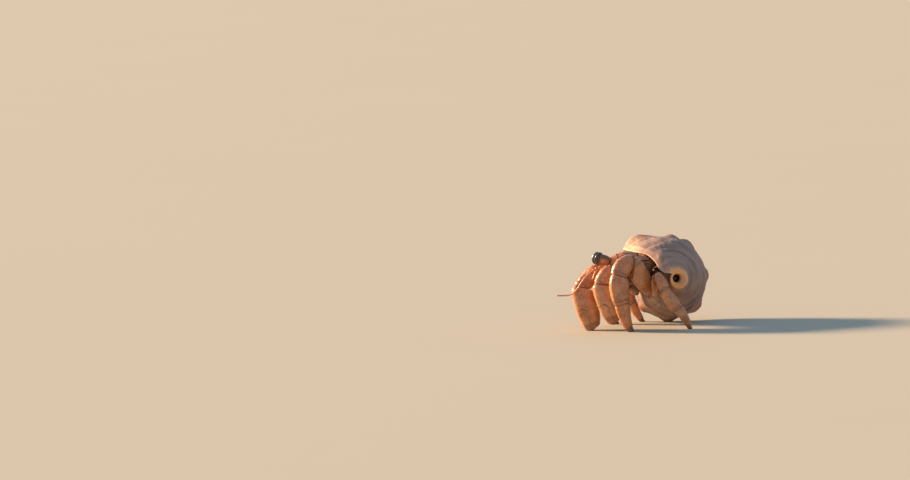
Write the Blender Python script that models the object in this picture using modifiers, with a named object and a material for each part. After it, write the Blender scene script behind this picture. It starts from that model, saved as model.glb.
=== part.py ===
"""Land hermit crab walking in a knobbed rock-snail shell, a life-size still model.

Metres, +Z up. The crab faces -X with its left side towards -Y, and stands on z = 0.
Sizes below are written in millimetres and turned to metres by mm().
Every limb is a row of hard segments, each its own object, 0.3 mm apart at the joints.
Places are measured from a point under the mouth of the shell; at the end everything moves so
that the origin lies in the middle of the base.
"""

import math

import bmesh
import bpy
from mathutils import Matrix, Vector

OBJECT_NAME = "hermit_crab"
MILLIMETRE = 0.001
JOINT_GAP = 0.3
JOINT_OVERRUN = 0.7                      # how far segments run past their joints before the joints are cut

# Shell: a right-handed spiral. h runs along its axis from the apex, r away from the axis.
SHELL_TIP_END = (10.6, -17.0, 18.0)      # middle of the siphon ring, at the front end of the axis
SHELL_AXIS = (0.145, -0.973, 0.172)      # from the apex to the siphon ring
SHELL_LENGTH = 37.0
LIP_ANGLE = 138.0                        # round the axis, from +X towards +Z
WHORL_GROWTH = 1.95                      # how much larger each turn is than the last
SPIRE_TURNS = 1.6                        # turns before the last one
SUTURE = (9.3, 9.8)                      # r, h where the last turn meets the one before
RAMP = ((12.8, 10.2), (16.4, 11.3))
SHOULDER = (18.7, 13.4)
FLANK = (18.7, 16.2)
STEPS_PER_TURN = 48
KNOB_HEIGHT = 2.2
# Knobs of the last turn: degrees back from the lip, share of the height, half width in degrees
KNOBS = (
    (16.0, 1.32, 25.0),
    (59.0, 0.72, 15.0),
    (80.0, 1.02, 18.0),
    (127.0, 0.92, 18.0),
    (176.0, 1.0, 23.0),
    (226.0, 0.85, 19.0),
    (276.0, 0.95, 20.0),
    (325.0, 0.95, 20.0),
)
OLD_KNOB_SPACING = 50.0                  # knobs of the spire
OLD_KNOBS = (374.0, 0.95, 20.0)          # the first of them
KNOB_ON_RAMP = (0.35, 0.4)               # shares that the ramp takes, out and towards the apex
KNOB_ON_SHOULDER = 0.35                  # share that the shoulder takes towards the apex
KNOB_ON_FLANK = 0.35                     # share that the flank takes out
RING_OUTER = 3.1                         # siphon ring
RING_DEPTH = 4.0
HOLE_SHIFT = (-1.1, 1.0)                 # how far the ring's hole lies off its middle, across and up
SPIRE_SPANS = 5                          # spans from suture to suture, then from there to the ring
BASE_STEPS = 6
BASE_FULLNESS_LIP = 1.6                  # powers of the base's curve at the lip and a turn before it
BASE_FULLNESS_OLD = 4.0
# Bends of the lip: degrees drawn back, then middle and reach as shares of the lip
LIP_BENDS = ((5.5, 0.69, 0.15), (-12.0, 0.88, 0.12))
LIP_FLARE = 0.8
WALL_SHARE = 0.87                        # size of the opening inside the lip
HOLLOW_NARROWING = 0.12                  # how much narrower the hollow is at its end
HOLLOW_TURN = 64.0                       # degrees that the hollow runs in from the lip
HOLLOW_STEPS = 3

# Body
BODY_PARTING_HEIGHT = 24.3               # plane between the shield above and the trunk below
HEAD_PARTING_X = -11.6                   # plane between the head and what is behind it
SHIELD_REAR_X = 0.6                      # where the shield ends under the lip
BODY_IN_SHELL = ((-38.0, 11.0, 20.5), 2.8, 2.6)   # degrees back from the lip, r and h; half sizes
BODY_AT_MOUTH = ((0.0, 12.2, 23.0), 5.8, 4.0)
BODY_STATIONS = (                        # from there to the face: centre, half width, half height
    ((-3.0, -3.8, 21.4), 5.2, 6.0),
    ((-7.6, -4.4, 21.9), 5.0, 6.5),
    ((-11.4, -5.2, 22.3), 4.3, 5.3),
    ((-14.4, -5.8, 22.6), 2.8, 3.4),
)
BASE_MIDDLE = (-5.31, -0.51, 0.0)        # the point of the floor that becomes the origin

# Rings of a segment: share of its length, then shares of its half width and half height
MERUS_RINGS = ((0.0, 0.66, 0.58), (0.24, 1.0, 0.96), (0.78, 1.12, 1.12), (1.0, 0.92, 0.84))
CARPUS_RINGS = ((0.0, 0.80, 0.72), (0.24, 1.02, 1.0), (0.70, 1.14, 1.14), (1.0, 1.0, 0.96))
PROPODUS_RINGS = ((0.0, 0.90, 0.86), (0.20, 1.06, 1.06), (0.74, 1.06, 1.02), (1.0, 0.90, 0.84))
DACTYL_RINGS = (
    (0.0, 0.94, 0.94),
    (0.16, 1.02, 1.0),
    (0.50, 0.92, 0.82),
    (0.84, 0.58, 0.50),
    (1.0, 0.28, 0.24),
)

# Rings of a closed hand, palm and fingers in one
HAND_RINGS = (
    (0.0, 0.86, 0.84),
    (0.10, 1.02, 1.02),
    (0.38, 1.10, 1.12),
    (0.64, 0.98, 1.04),
    (0.86, 0.70, 0.80),
    (1.0, 0.38, 0.46),
)
HINGE_SHARE = 0.47
HINGE_OFFSET = 0.16
TIP_OFFSET = -0.08
FINGERTIP_SLOPE = 17.0                   # degrees by which the fixed fingertip slants off

SEGMENT_SIDES = 8
SMALL_SIDES = 6
FEELER_PIECES = 3                        # straight pieces between two points of a feeler

# Walking legs: joints from hip to tip; half widths across the bend with half heights along it,
# from merus to dactyl; the way the bend's axis points; and how far each segment bows.
STOUT = ((1.7, 3.3), (1.9, 3.2), (2.0, 3.5), (1.7, 2.9))
SLIM = ((1.5, 2.3), (1.6, 2.1), (1.7, 2.4), (1.4, 2.1))
WALKING_LEGS = {
    "leg2_left": (
        (
            (0.8, -8.4, 12.6),
            (-5.8, -12.8, 24.8),
            (-10.4, -15.6, 20.0),
            (-9.8, -16.4, 10.2),
            (-6.8, -15.6, -0.8),
        ),
        STOUT,
        (0.3, -0.95, 0.0),
        ((-0.4, -1.2, 0.4), (-0.9, -0.2, 0.9), (-0.7, -0.2, 0), (-0.8, -0.2, 0)),
    ),
    "leg3_left": (
        ((2.4, -8.8, 11.6), (3.2, -15.6, 19.4), (5.4, -17.8, 14.6), (9.6, -18.2, 7.6), (14.0, -17.2, -0.7)),
        SLIM,
        (0.6, -0.8, 0.1),
        ((0.0, -0.8, 0.8), (0.2, -0.3, 0.2), (-0.2, -0.3, -0.2), (0.3, -0.2, 0.6)),
    ),
    "leg2_right": (
        ((-7.6, 1.2, 13.8), (-12.0, 5.0, 22.0), (-15.4, 7.6, 17.4), (-14.4, 9.0, 8.8), (-11.2, 8.6, -0.8)),
        STOUT,
        (0.3, 0.95, 0.0),
        ((-0.4, 1.0, 0.4), (-0.9, 0.2, 0.8), (-0.7, 0.2, 0), (-0.8, 0.2, 0)),
    ),
    "leg3_right": (
        ((-4.0, 2.2, 11.2), (-6.6, 9.0, 17.6), (-7.0, 11.4, 13.4), (-5.4, 12.0, 7.0), (-1.4, 11.4, -0.7)),
        SLIM,
        (0.5, 0.85, 0.0),
        ((-0.4, 0.8, 0.6), (-0.5, 0.3, 0.4), (-0.6, 0.3, 0), (-0.5, 0.2, 0)),
    ),
}

# Claws: joints from hip to fingertips, half sizes of merus, carpus and hand, the bend's axis,
# and how far the fixed fingertip stops short of the movable one
CLAWS = {
    "claw_left": (
        ((-8.6, -9.8, 15.2), (-13.6, -11.2, 22.2), (-16.8, -11.6, 17.2), (-12.6, -11.6, 2.4)),
        ((1.7, 2.3), (2.1, 3.0), (2.5, 3.9)),
        (0.0, -1.0, 0.0),
        0.3,
    ),
    "claw_right": (
        ((-11.6, -1.8, 15.2), (-17.8, -2.4, 21.8), (-24.2, -4.6, 15.6), (-20.2, -5.6, -0.9)),
        ((1.7, 2.3), (2.1, 2.9), (2.5, 4.0)),
        (0.05, -1.0, 0.0),
        1.05,
    ),
}

# Eyes: where the stalk starts, where it meets the eye, and the eye's end
EYES = {
    "left": ((-13.7, -7.1, 24.4), (-16.9, -7.7, 25.9), (-18.8, -8.0, 26.5)),
    "right": ((-14.3, -4.5, 24.5), (-17.8, -4.7, 25.8), (-19.6, -4.8, 26.5)),
}
EYESTALK_HALVES = (0.95, 2.1)
EYE_HALVES = (0.95, 2.4)

# Feelers: bases as start, end, half sizes and the bend's axis; then points, thick end and thin end
ANTENNA_BASES = {
    "left": ((-14.6, -8.6, 23.2), (-18.9, -8.9, 22.4), (0.75, 0.85), (0, 1, 0)),
    "right": ((-14.0, -2.1, 23.4), (-17.2, 0.9, 22.3), (0.7, 0.8), (0, 0, 1)),
}
FEELERS = {
    "antenna_left": (
        (
            (-19.2, -8.9, 22.2),
            (-22.8, -9.1, 19.4),
            (-25.8, -8.9, 15.4),
            (-28.4, -8.0, 13.5),
            (-33.2, -7.0, 13.3),
        ),
        0.75,
        0.5,
    ),
    "antenna_right": (
        (
            (-17.5, 1.2, 22.1),
            (-19.6, 4.0, 20.2),
            (-21.2, 8.0, 16.6),
            (-22.0, 12.6, 13.4),
            (-21.0, 17.4, 11.0),
        ),
        0.75,
        0.5,
    ),
    "antennule_left": (
        ((-14.8, -7.0, 21.3), (-17.2, -7.3, 22.0), (-19.0, -7.3, 20.8), (-19.8, -7.4, 18.6)),
        0.7,
        0.5,
    ),
    "antennule_right": (
        ((-14.9, -5.0, 20.9), (-17.2, -5.5, 22.4), (-20.2, -5.6, 22.0), (-22.0, -5.4, 20.2)),
        0.7,
        0.5,
    ),
}
MOUTHPARTS = {
    "left": ((-12.4, -7.0, 16.6), (-14.6, -7.2, 11.6)),
    "right": ((-12.4, -4.6, 16.6), (-14.6, -4.8, 11.6)),
}
MOUTHPART_HALVES = (0.9, 1.1)
MOUTHPART_BOW = (-1.2, 0, 0.2)


def mm(x, y, z):
    """A point given in millimetres, in metres."""
    return Vector((x, y, z)) * MILLIMETRE


def clear_scene():
    for obj in list(bpy.data.objects):
        bpy.data.objects.remove(obj, do_unlink=True)


def new_collection():
    collection = bpy.data.collections.new(OBJECT_NAME)
    bpy.context.scene.collection.children.link(collection)
    return collection


def new_material(name, colour, roughness):
    """A Principled material. The colour is linear RGB."""
    material = bpy.data.materials.new(name)
    material.use_nodes = True
    shader = material.node_tree.nodes["Principled BSDF"]
    shader.inputs["Base Color"].default_value = (*colour, 1.0)
    shader.inputs["Roughness"].default_value = roughness
    shader.inputs["Metallic"].default_value = 0.0
    material.diffuse_color = (*colour, 1.0)
    return material


def add_object(name, bm, material, collection, subdivide):
    """Closes the mesh, turns its faces out and puts it in the scene under this name."""
    bmesh.ops.recalc_face_normals(bm, faces=bm.faces)
    mesh = bpy.data.meshes.new(name)
    bm.to_mesh(mesh)
    bm.free()
    mesh.shade_smooth()
    mesh.materials.append(material)
    obj = bpy.data.objects.new(name, mesh)
    collection.objects.link(obj)
    if subdivide:
        rounding = obj.modifiers.new("Rounding", "SUBSURF")
        rounding.levels = 1
        rounding.render_levels = 1
    return obj


def bake_modifiers(obj):
    """Gives the object the mesh that its modifiers make, so that it can be cut."""
    graph = bpy.context.evaluated_depsgraph_get()
    graph.update()
    mesh = bpy.data.meshes.new_from_object(obj.evaluated_get(graph))
    obj.modifiers.clear()
    obj.data = mesh


def cut_flat(obj, point, normal):
    """Cuts away what lies beyond a plane, on the side its normal points to, and closes the cut."""
    bm = bmesh.new()
    bm.from_mesh(obj.data)
    everything = bm.verts[:] + bm.edges[:] + bm.faces[:]
    cut = bmesh.ops.bisect_plane(
        bm, geom=everything, dist=1e-7, plane_co=point, plane_no=normal, clear_outer=True
    )
    edges = [item for item in cut["geom_cut"] if isinstance(item, bmesh.types.BMEdge)]
    if edges:
        bmesh.ops.edgeloop_fill(bm, edges=edges)
    bmesh.ops.recalc_face_normals(bm, faces=bm.faces)
    bm.to_mesh(obj.data)
    bm.free()


def stand_on_floor(obj):
    """Gives a foot its small flat at z = 0."""
    cut_flat(obj, Vector((0, 0, 0)), Vector((0, 0, -1)))


def ring_place(centre, along, side, half_width, half_height):
    """The matrix that lays a unit circle across a limb, with its X towards the limb's side."""
    upright = along.cross(side).normalized()
    side = upright.cross(along).normalized()
    turned = Matrix((side * half_width, upright * half_height, along)).transposed()
    return Matrix.Translation(centre) @ turned.to_4x4()


def loft(places, sides):
    """A closed tube whose rings lie at these places, made by extruding its end cap from ring to ring."""
    bm = bmesh.new()
    bmesh.ops.create_circle(bm, cap_ends=True, segments=sides, radius=1.0, matrix=places[0])
    bm.faces.ensure_lookup_table()
    first_cap = cap = bm.faces[0]
    for before, after in zip(places, places[1:]):
        moved = bmesh.ops.extrude_face_region(bm, geom=[cap])["geom"]
        verts = [item for item in moved if isinstance(item, bmesh.types.BMVert)]
        if cap is not first_cap:
            bmesh.ops.delete(bm, geom=[cap], context="FACES_ONLY")
        cap = next(item for item in moved if isinstance(item, bmesh.types.BMFace))
        bmesh.ops.transform(bm, matrix=after @ before.inverted(), verts=verts)
    return bm


def bent_path(start, bow, end):
    """A function of the share of the way from start to end, along a curve drawn out by bow."""

    def point(share):
        return start.lerp(end, share) + bow * (4 * share * (1 - share))

    def direction(share):
        return (end - start + bow * (4 - 8 * share)).normalized()

    return point, direction


def segment(name, start, end, half_width, half_height, rings, look, side, bow=(0, 0, 0), sides=SEGMENT_SIDES):
    """One hard segment of a limb between two points, in millimetres.

    Its half width is measured towards side, and its half height across that."""
    point, direction = bent_path(mm(*start), mm(*bow), mm(*end))
    side = Vector(side).normalized()
    places = [
        ring_place(
            point(share),
            direction(share),
            side,
            half_width * across * MILLIMETRE,
            half_height * deep * MILLIMETRE,
        )
        for share, across, deep in rings
    ]
    return add_object(name, loft(places, sides), look["material"], look["collection"], True)


def limb(names, joints, sizes, rings, side, look, bows):
    """A row of segments through these joints, each parted from the next by a thin cut at their joint."""
    points = [Vector(joint) for joint in joints]
    ways = [(after - before).normalized() for before, after in zip(points, points[1:])]
    pieces = []
    for i, name in enumerate(names):
        start = points[i] - ways[i] * (JOINT_OVERRUN if i > 0 else 0)
        end = points[i + 1] + ways[i] * (JOINT_OVERRUN if i < len(ways) - 1 else 0)
        pieces.append(segment(name, start, end, *sizes[i], rings[i], look, side, bows[i]))
    for i, piece in enumerate(pieces):
        bake_modifiers(piece)
        if i > 0:
            part_at_joint(piece, points[i], ways[i - 1], ways[i], 1)
        if i < len(ways) - 1:
            part_at_joint(piece, points[i + 1], ways[i], ways[i + 1], -1)
    return pieces


def part_at_joint(piece, joint, way_in, way_out, keep):
    """Cuts a segment along the plane that halves the bend of its joint.

    The side that keep points to, 1 ahead or -1 behind, stays."""
    across = (way_in + way_out).normalized() * keep
    cut_flat(piece, mm(*(joint + across * (JOINT_GAP / 2))), -across)


# ---------------------------------------------------------------- shell


def shell_frame():
    """The shell's own axes as a matrix: X and Y across the axis, Z from the apex to the siphon ring."""
    axis = Vector(SHELL_AXIS).normalized()
    across = (Vector((1, 0, 0)) - axis * axis.x).normalized()
    upward = axis.cross(across)
    apex = mm(*SHELL_TIP_END) - axis * (SHELL_LENGTH * MILLIMETRE)
    turned = Matrix((across, upward, axis)).transposed()
    return Matrix.Translation(apex) @ turned.to_4x4()


def shell_point(angle, r, h):
    """A point of the shell, from its angle in degrees round the axis and its r and h in millimetres."""
    turn = math.radians(angle)
    return shell_frame() @ mm(r * math.cos(turn), r * math.sin(turn), h)


def ease(share):
    share = min(max(share, 0.0), 1.0)
    return share * share * (3 - 2 * share)


def swell(offset):
    """A smooth hump: 1 at no offset, 0 from an offset of 1 on."""
    return 0.5 + 0.5 * math.cos(math.pi * min(abs(offset), 1.0))


def knob_swell(back_degrees):
    """How far a shoulder knob stands out here: 0 between knobs, about 1 on one."""
    first, height, reach = OLD_KNOBS
    off = (back_degrees - first) % OLD_KNOB_SPACING
    older = height * swell(min(off, OLD_KNOB_SPACING - off) / reach) if back_degrees > first - reach else 0.0
    return max([older] + [high * swell((back_degrees - middle) / wide) for middle, high, wide in KNOBS])


def whorl_section(back_degrees):
    """(r, h) down one section of the last turns, this many degrees back from the lip.

    The part that the spire shows comes first, from suture to suture; in the last turn the base follows."""
    size = WHORL_GROWTH ** (-back_degrees / 360.0)
    knob = KNOB_HEIGHT * knob_swell(back_degrees)
    lower = (SUTURE[0] * WHORL_GROWTH, SUTURE[1] * WHORL_GROWTH)
    swollen = (SHOULDER[0] + knob, SHOULDER[1] - KNOB_ON_SHOULDER * knob)
    near_shoulder = (RAMP[1][0] + KNOB_ON_RAMP[0] * knob, RAMP[1][1] - KNOB_ON_RAMP[1] * knob)
    flank = (FLANK[0] + KNOB_ON_FLANK * knob, FLANK[1])
    outline = [SUTURE, RAMP[0], near_shoulder, swollen, flank, lower]
    points = [(r * size, h * size) for r, h in outline]
    if back_degrees > 360.0 + 1e-6:
        return points
    start_r, start_h = points[-1]
    fullness = BASE_FULLNESS_LIP + (BASE_FULLNESS_OLD - BASE_FULLNESS_LIP) * ease(back_degrees / 360.0)
    for step in range(1, BASE_STEPS + 1):
        turn = math.radians(90.0 * step / BASE_STEPS)
        r = RING_OUTER + (start_r - RING_OUTER) * max(math.cos(turn), 0.0) ** fullness
        h = start_h + (SHELL_LENGTH - start_h) * math.sin(turn) ** 1.1
        points.append((r, h))
    return points


def section_point(back_degrees, index, count, r, h):
    """Places one point of a section. Near the lip the section's middle draws back and the edge flares."""
    near_lip = ease(1.0 - back_degrees / 40.0)
    down = index / (count - 1)
    sinus = near_lip * sum(drawn * swell((down - middle) / reach) for drawn, middle, reach in LIP_BENDS)
    flare = LIP_FLARE * ease(1.0 - back_degrees / 14.0) * math.sin(math.pi * min(down * 1.6, 1.0)) ** 0.5
    return shell_point(LIP_ANGLE - back_degrees - sinus, r + flare, h)


def build_shell(look):
    """The whole shell: spire and last turn as one strip, the siphon ring, the lip and the hollow."""
    steps = STEPS_PER_TURN
    step_angle = 360.0 / steps
    first = round((1.0 + SPIRE_TURNS) * steps)
    bm = bmesh.new()
    sections = []
    for count in range(first, -1, -1):
        back = count * step_angle
        outline = whorl_section(back)
        placed = [section_point(back, i, len(outline), r, h) for i, (r, h) in enumerate(outline)]
        sections.append([bm.verts.new(point) for point in placed])
    for older, newer in zip(sections, sections[1:]):
        for i in range(min(len(older), len(newer)) - 1):
            bm.faces.new((older[i], older[i + 1], newer[i + 1], newer[i]))
    # The start of the spire is closed by a small cap on its first turn's upper edge and section.
    tip = [section[0] for section in sections[: steps + 1]]
    nose = bm.verts.new(shell_point(0.0, 0.0, 0.0))
    for older, newer in zip(tip, tip[1:]):
        bm.faces.new((nose, older, newer))
    bm.faces.new([nose] + sections[0][::-1])
    close_siphon_end(bm, sections, steps)
    close_lip(bm, sections, steps)
    bmesh.ops.remove_doubles(bm, verts=bm.verts, dist=1e-6)
    shell = add_object("shell", bm, look["material"], look["collection"], False)
    cut_flat(shell, Vector((0, 0, 0)), Vector((0, 0, -1)))
    return shell


def close_siphon_end(bm, sections, steps):
    """Rolls the front end of the last turn over into the siphon ring and down its hole."""
    last_turn = sections[-(steps + 1):-1]
    ring = [section[-1] for section in last_turn]
    rolled = ((0.84, -0.6), (0.62, -0.5), (0.44, 0.3), (0.36, RING_DEPTH))
    angles = [LIP_ANGLE - 360.0 + k * 360.0 / steps for k in range(steps)]
    for share, depth in rolled:
        r = RING_OUTER * share
        shift = mm(HOLE_SHIFT[0], 0, HOLE_SHIFT[1]) * (1.0 - share)
        inner = [bm.verts.new(shell_point(angle, r, SHELL_LENGTH - depth) + shift) for angle in angles]
        for k in range(steps):
            after = (k + 1) % steps
            bm.faces.new((ring[k], inner[k], inner[after], ring[after]))
        ring = inner
    bm.faces.new(ring)


def close_lip(bm, sections, steps):
    """Joins the lip to the turn beneath it by the walls and floor of the hollow."""
    lip = sections[-1]
    older = sections[-(steps + 1)]
    outer = lip[:-1]
    inner = older[SPIRE_SPANS + 1:]
    loop = outer + inner[::-1]
    frame = shell_frame()
    back_to_shell = frame.inverted()
    local = [back_to_shell @ vert.co for vert in loop]
    middle = sum(local, Vector()) / len(local)
    for k in range(HOLLOW_STEPS + 1):
        back = HOLLOW_TURN * k / HOLLOW_STEPS
        size = WHORL_GROWTH ** (-back / 360.0) * (1.0 - HOLLOW_NARROWING * k / HOLLOW_STEPS)
        turn = Matrix.Rotation(math.radians(-back), 4, "Z")
        placed = [frame @ (turn @ (middle + (co - middle) * WALL_SHARE) * size) for co in local]
        deeper = [bm.verts.new(point) for point in placed]
        for i in range(len(loop)):
            j = (i + 1) % len(loop)
            bm.faces.new((loop[i], loop[j], deeper[j], deeper[i]))
        loop = deeper
    bm.faces.new(loop)


# ---------------------------------------------------------------- crab


def build_body(look):
    """The trunk, from inside the shell to the face, parted into trunk, shield and head by thin cuts."""
    stations = []
    for (back, r, h), half_width, half_height in (BODY_IN_SHELL, BODY_AT_MOUTH):
        stations.append((shell_point(LIP_ANGLE + back, r, h), half_width, half_height))
    for centre, half_width, half_height in BODY_STATIONS:
        stations.append((mm(*centre), half_width, half_height))
    centres = [centre for centre, _, _ in stations]
    places = []
    for i, (centre, half_width, half_height) in enumerate(stations):
        before = centres[max(i - 1, 0)]
        after = centres[min(i + 1, len(centres) - 1)]
        along = (after - before).normalized()
        places.append(
            ring_place(
                centre,
                along,
                Vector((0, 1, 0)),
                half_width * MILLIMETRE,
                half_height * MILLIMETRE,
            )
        )
    whole = add_object("trunk", loft(places, SEGMENT_SIDES), look["material"], look["collection"], True)
    bake_modifiers(whole)
    half_gap = JOINT_GAP / 2
    level = Vector((0, 0.05, 1)).normalized()
    shield = copy_of(whole, "shield", look["collection"])
    head = copy_of(whole, "head", look["collection"])
    shield.data.materials[0] = look["plate"]
    head.data.materials[0] = look["plate"]
    front = Vector((-1, -0.12, 0.1)).normalized()
    # Each copy keeps its own side of the parting planes.
    cut_flat(head, mm(HEAD_PARTING_X - half_gap, -5, 22), -front)
    cut_flat(whole, mm(HEAD_PARTING_X + half_gap, -5, 22), front)
    cut_flat(shield, mm(HEAD_PARTING_X + half_gap, -5, 22), front)
    cut_flat(shield, mm(0, -4, BODY_PARTING_HEIGHT + half_gap), -level)
    cut_flat(whole, mm(0, -4, BODY_PARTING_HEIGHT - half_gap), level)
    cut_flat(shield, mm(SHIELD_REAR_X, -4, 25), Vector((1, 0, 0.35)).normalized())
    return whole


def copy_of(obj, name, collection):
    twin = obj.copy()
    twin.data = obj.data.copy()
    twin.name = name
    collection.objects.link(twin)
    return twin


def build_eye(side, base, neck, tip, look):
    """A flattened eyestalk and the dark eye that caps it."""
    rings = ((0.0, 0.8, 0.85), (0.4, 1.0, 1.0), (1.0, 0.92, 0.95))
    segment(f"eyestalk_{side}", base, neck, *EYESTALK_HALVES, rings, look, (0, 1, 0), sides=SMALL_SIDES)
    rings = ((0.0, 0.95, 0.98), (0.4, 1.02, 1.02), (0.85, 0.8, 0.85), (1.0, 0.45, 0.55))
    dark = {"material": look["eye"], "collection": look["collection"]}
    segment(f"eye_{side}", neck, tip, *EYE_HALVES, rings, dark, (0, 1, 0), sides=SMALL_SIDES)


def feeler(name, points, thick, thin, look):
    """A tapering feeler: a round curve through a few points, smooth between them."""
    curve = bpy.data.curves.new(name, "CURVE")
    curve.dimensions = "3D"
    curve.bevel_depth = MILLIMETRE
    curve.bevel_resolution = 1
    curve.use_fill_caps = True
    spline = curve.splines.new("POLY")
    smooth = smooth_line([mm(*point) for point in points], FEELER_PIECES)
    spline.points.add(len(smooth) - 1)
    for i, (target, point) in enumerate(zip(spline.points, smooth)):
        target.co = (*point, 1.0)
        target.radius = (thick + (thin - thick) * i / (len(smooth) - 1)) / 2
    bent = bpy.data.objects.new(name, curve)
    look["collection"].objects.link(bent)
    graph = bpy.context.evaluated_depsgraph_get()
    graph.update()
    mesh = bpy.data.meshes.new_from_object(bent.evaluated_get(graph))
    bpy.data.objects.remove(bent, do_unlink=True)
    bm = bmesh.new()
    bm.from_mesh(mesh)
    bmesh.ops.remove_doubles(bm, verts=bm.verts, dist=1e-6)
    return add_object(name, bm, look["material"], look["collection"], False)


def smooth_line(points, pieces):
    """Points on a smooth curve through the given ones, with this many pieces between each pair."""
    ends = [points[0] * 2 - points[1]] + points + [points[-1] * 2 - points[-2]]
    line = []
    for a, b, c, d in zip(ends, ends[1:], ends[2:], ends[3:]):
        for step in range(pieces):
            t = step / pieces
            bend = (2 * a - 5 * b + 4 * c - d) * t + (3 * b - a - 3 * c + d) * t ** 2
            line.append(b + ((c - a) + bend) * (0.5 * t))
    line.append(points[-1])
    return line


def build_leg(name, joints, sizes, side, look, bows):
    """A walking leg: merus, carpus, propodus and dactyl between its five joints, with a flat at the tip."""
    names = [f"{name}_{part}" for part in ("merus", "carpus", "propodus", "dactyl")]
    rings = (MERUS_RINGS, CARPUS_RINGS, PROPODUS_RINGS, DACTYL_RINGS)
    pieces = limb(names, joints, sizes, rings, side, look, bows)
    stand_on_floor(pieces[-1])


def wedge_cutter(corner, away, along, reach):
    """A block that fills the corner between two planes: away and along point into it."""
    across = along.cross(away).normalized()
    middle = corner + (away + along) * reach
    turned = Matrix((away * reach, across * reach, along * reach)).transposed()
    bm = bmesh.new()
    bmesh.ops.create_cube(bm, size=2.0, matrix=Matrix.Translation(middle) @ turned.to_4x4())
    bmesh.ops.recalc_face_normals(bm, faces=bm.faces)
    mesh = bpy.data.meshes.new("cutter")
    bm.to_mesh(mesh)
    bm.free()
    cutter = bpy.data.objects.new("cutter", mesh)
    bpy.context.scene.collection.objects.link(cutter)
    return cutter


def cut_block(obj, cutter):
    """Cuts a block out of an object, and removes the block."""
    cut = obj.modifiers.new("Parting", "BOOLEAN")
    cut.operation = "DIFFERENCE"
    cut.solver = "EXACT"
    cut.object = cutter
    bake_modifiers(obj)
    bpy.data.objects.remove(cutter, do_unlink=True)


def build_claw(name, joints, sizes, side, short, look):
    """A claw: merus, carpus, and a hand made whole and parted into palm and movable finger.

    The movable finger is on the side that along x side points to. The fixed fingertip slants off."""
    names = [f"{name}_{part}" for part in ("merus", "carpus", "palm")]
    straight = ((0, 0, 0),) * 3
    rings = (MERUS_RINGS, CARPUS_RINGS, HAND_RINGS)
    palm = limb(names, joints, sizes, rings, side, look, straight)[-1]
    spread = sizes[-1][1] * MILLIMETRE
    start, end = (mm(*joint) for joint in joints[-2:])
    outward = (end - start).normalized().cross(Vector(side)).normalized()
    hinge = start.lerp(end, HINGE_SHARE) + outward * (HINGE_OFFSET * spread)
    closing = (end + outward * (TIP_OFFSET * spread) - hinge).normalized()
    away = (outward - closing * outward.dot(closing)).normalized()
    half_gap = (away + closing) * (JOINT_GAP * MILLIMETRE / 2)
    finger = copy_of(palm, f"{name}_finger", look["collection"])
    cut_flat(finger, hinge + half_gap, -away)
    cut_flat(finger, hinge + half_gap, -closing)
    cut_block(palm, wedge_cutter(hinge - half_gap, away, closing, 3 * spread))
    slope = math.radians(FINGERTIP_SLOPE)
    slant = closing * math.cos(slope) - away * math.sin(slope)
    cut_flat(palm, end - closing * (short * MILLIMETRE), slant)
    stand_on_floor(palm)
    stand_on_floor(finger)


def build_feelers(plates):
    """Both pairs of feelers: the long antennae on their bases, and the small bent antennules."""
    base_rings = ((0, 0.9, 0.9), (0.3, 1.1, 1.1), (1, 0.7, 0.7))
    for side, (start, end, (half_width, half_height), hint) in ANTENNA_BASES.items():
        segment(
            f"antenna_base_{side}", start, end, half_width, half_height,
            base_rings, plates, hint, sides=SMALL_SIDES,
        )
    for name, (points, thick, thin) in FEELERS.items():
        feeler(name, points, thick, thin, plates)


def build_mouthparts(plates):
    rings = ((0, 0.8, 0.8), (0.4, 1.1, 1.1), (1, 0.55, 0.55))
    for side, (start, end) in MOUTHPARTS.items():
        segment(
            f"mouthpart_{side}", start, end, *MOUTHPART_HALVES, rings, plates, (0, 1, 0),
            MOUTHPART_BOW, SMALL_SIDES,
        )


def build_crab(look):
    build_body(look)
    plates = {"material": look["plate"], "collection": look["collection"], "eye": look["eye"]}
    for side, joints in EYES.items():
        build_eye(side, *joints, plates)
    for name, (joints, sizes, hint, bows) in WALKING_LEGS.items():
        build_leg(name, joints, sizes, hint, plates, bows)
    for name, (joints, sizes, hint, short) in CLAWS.items():
        build_claw(name, joints, sizes, hint, short, plates)
    build_feelers(plates)
    build_mouthparts(plates)


def centre_on_base(collection):
    """Moves the model so that the middle of its base is the origin."""
    for obj in collection.objects:
        obj.data.transform(Matrix.Translation(-mm(*BASE_MIDDLE)))


def main():
    clear_scene()
    collection = new_collection()
    shell_look = {"material": new_material("worn_shell", (0.22, 0.14, 0.10), 0.5), "collection": collection}
    crab_look = {
        "material": new_material("soft_skin", (0.45, 0.26, 0.17), 0.6),
        "plate": new_material("orange_plate", (0.40, 0.13, 0.045), 0.35),
        "eye": new_material("dark_eye", (0.02, 0.015, 0.015), 0.15),
        "collection": collection,
    }
    build_shell(shell_look)
    build_crab(crab_look)
    centre_on_base(collection)


main()
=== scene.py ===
"""A land hermit crab walking in a knobbed sea-snail shell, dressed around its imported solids.

The crab faces -X with its left side towards -Y, and stands on z = 0. Everything is shaped in the
maker's millimetres, whose zero is under the mouth of the shell, and goes into the frame's metres
when a piece is finished.
"""

from __future__ import annotations

import logging
import math
import random
from collections.abc import Callable, Iterable, Sequence
from dataclasses import dataclass, field
from enum import Enum
from functools import lru_cache

import bmesh
import bpy
from mathutils import Matrix, Vector, noise

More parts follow.
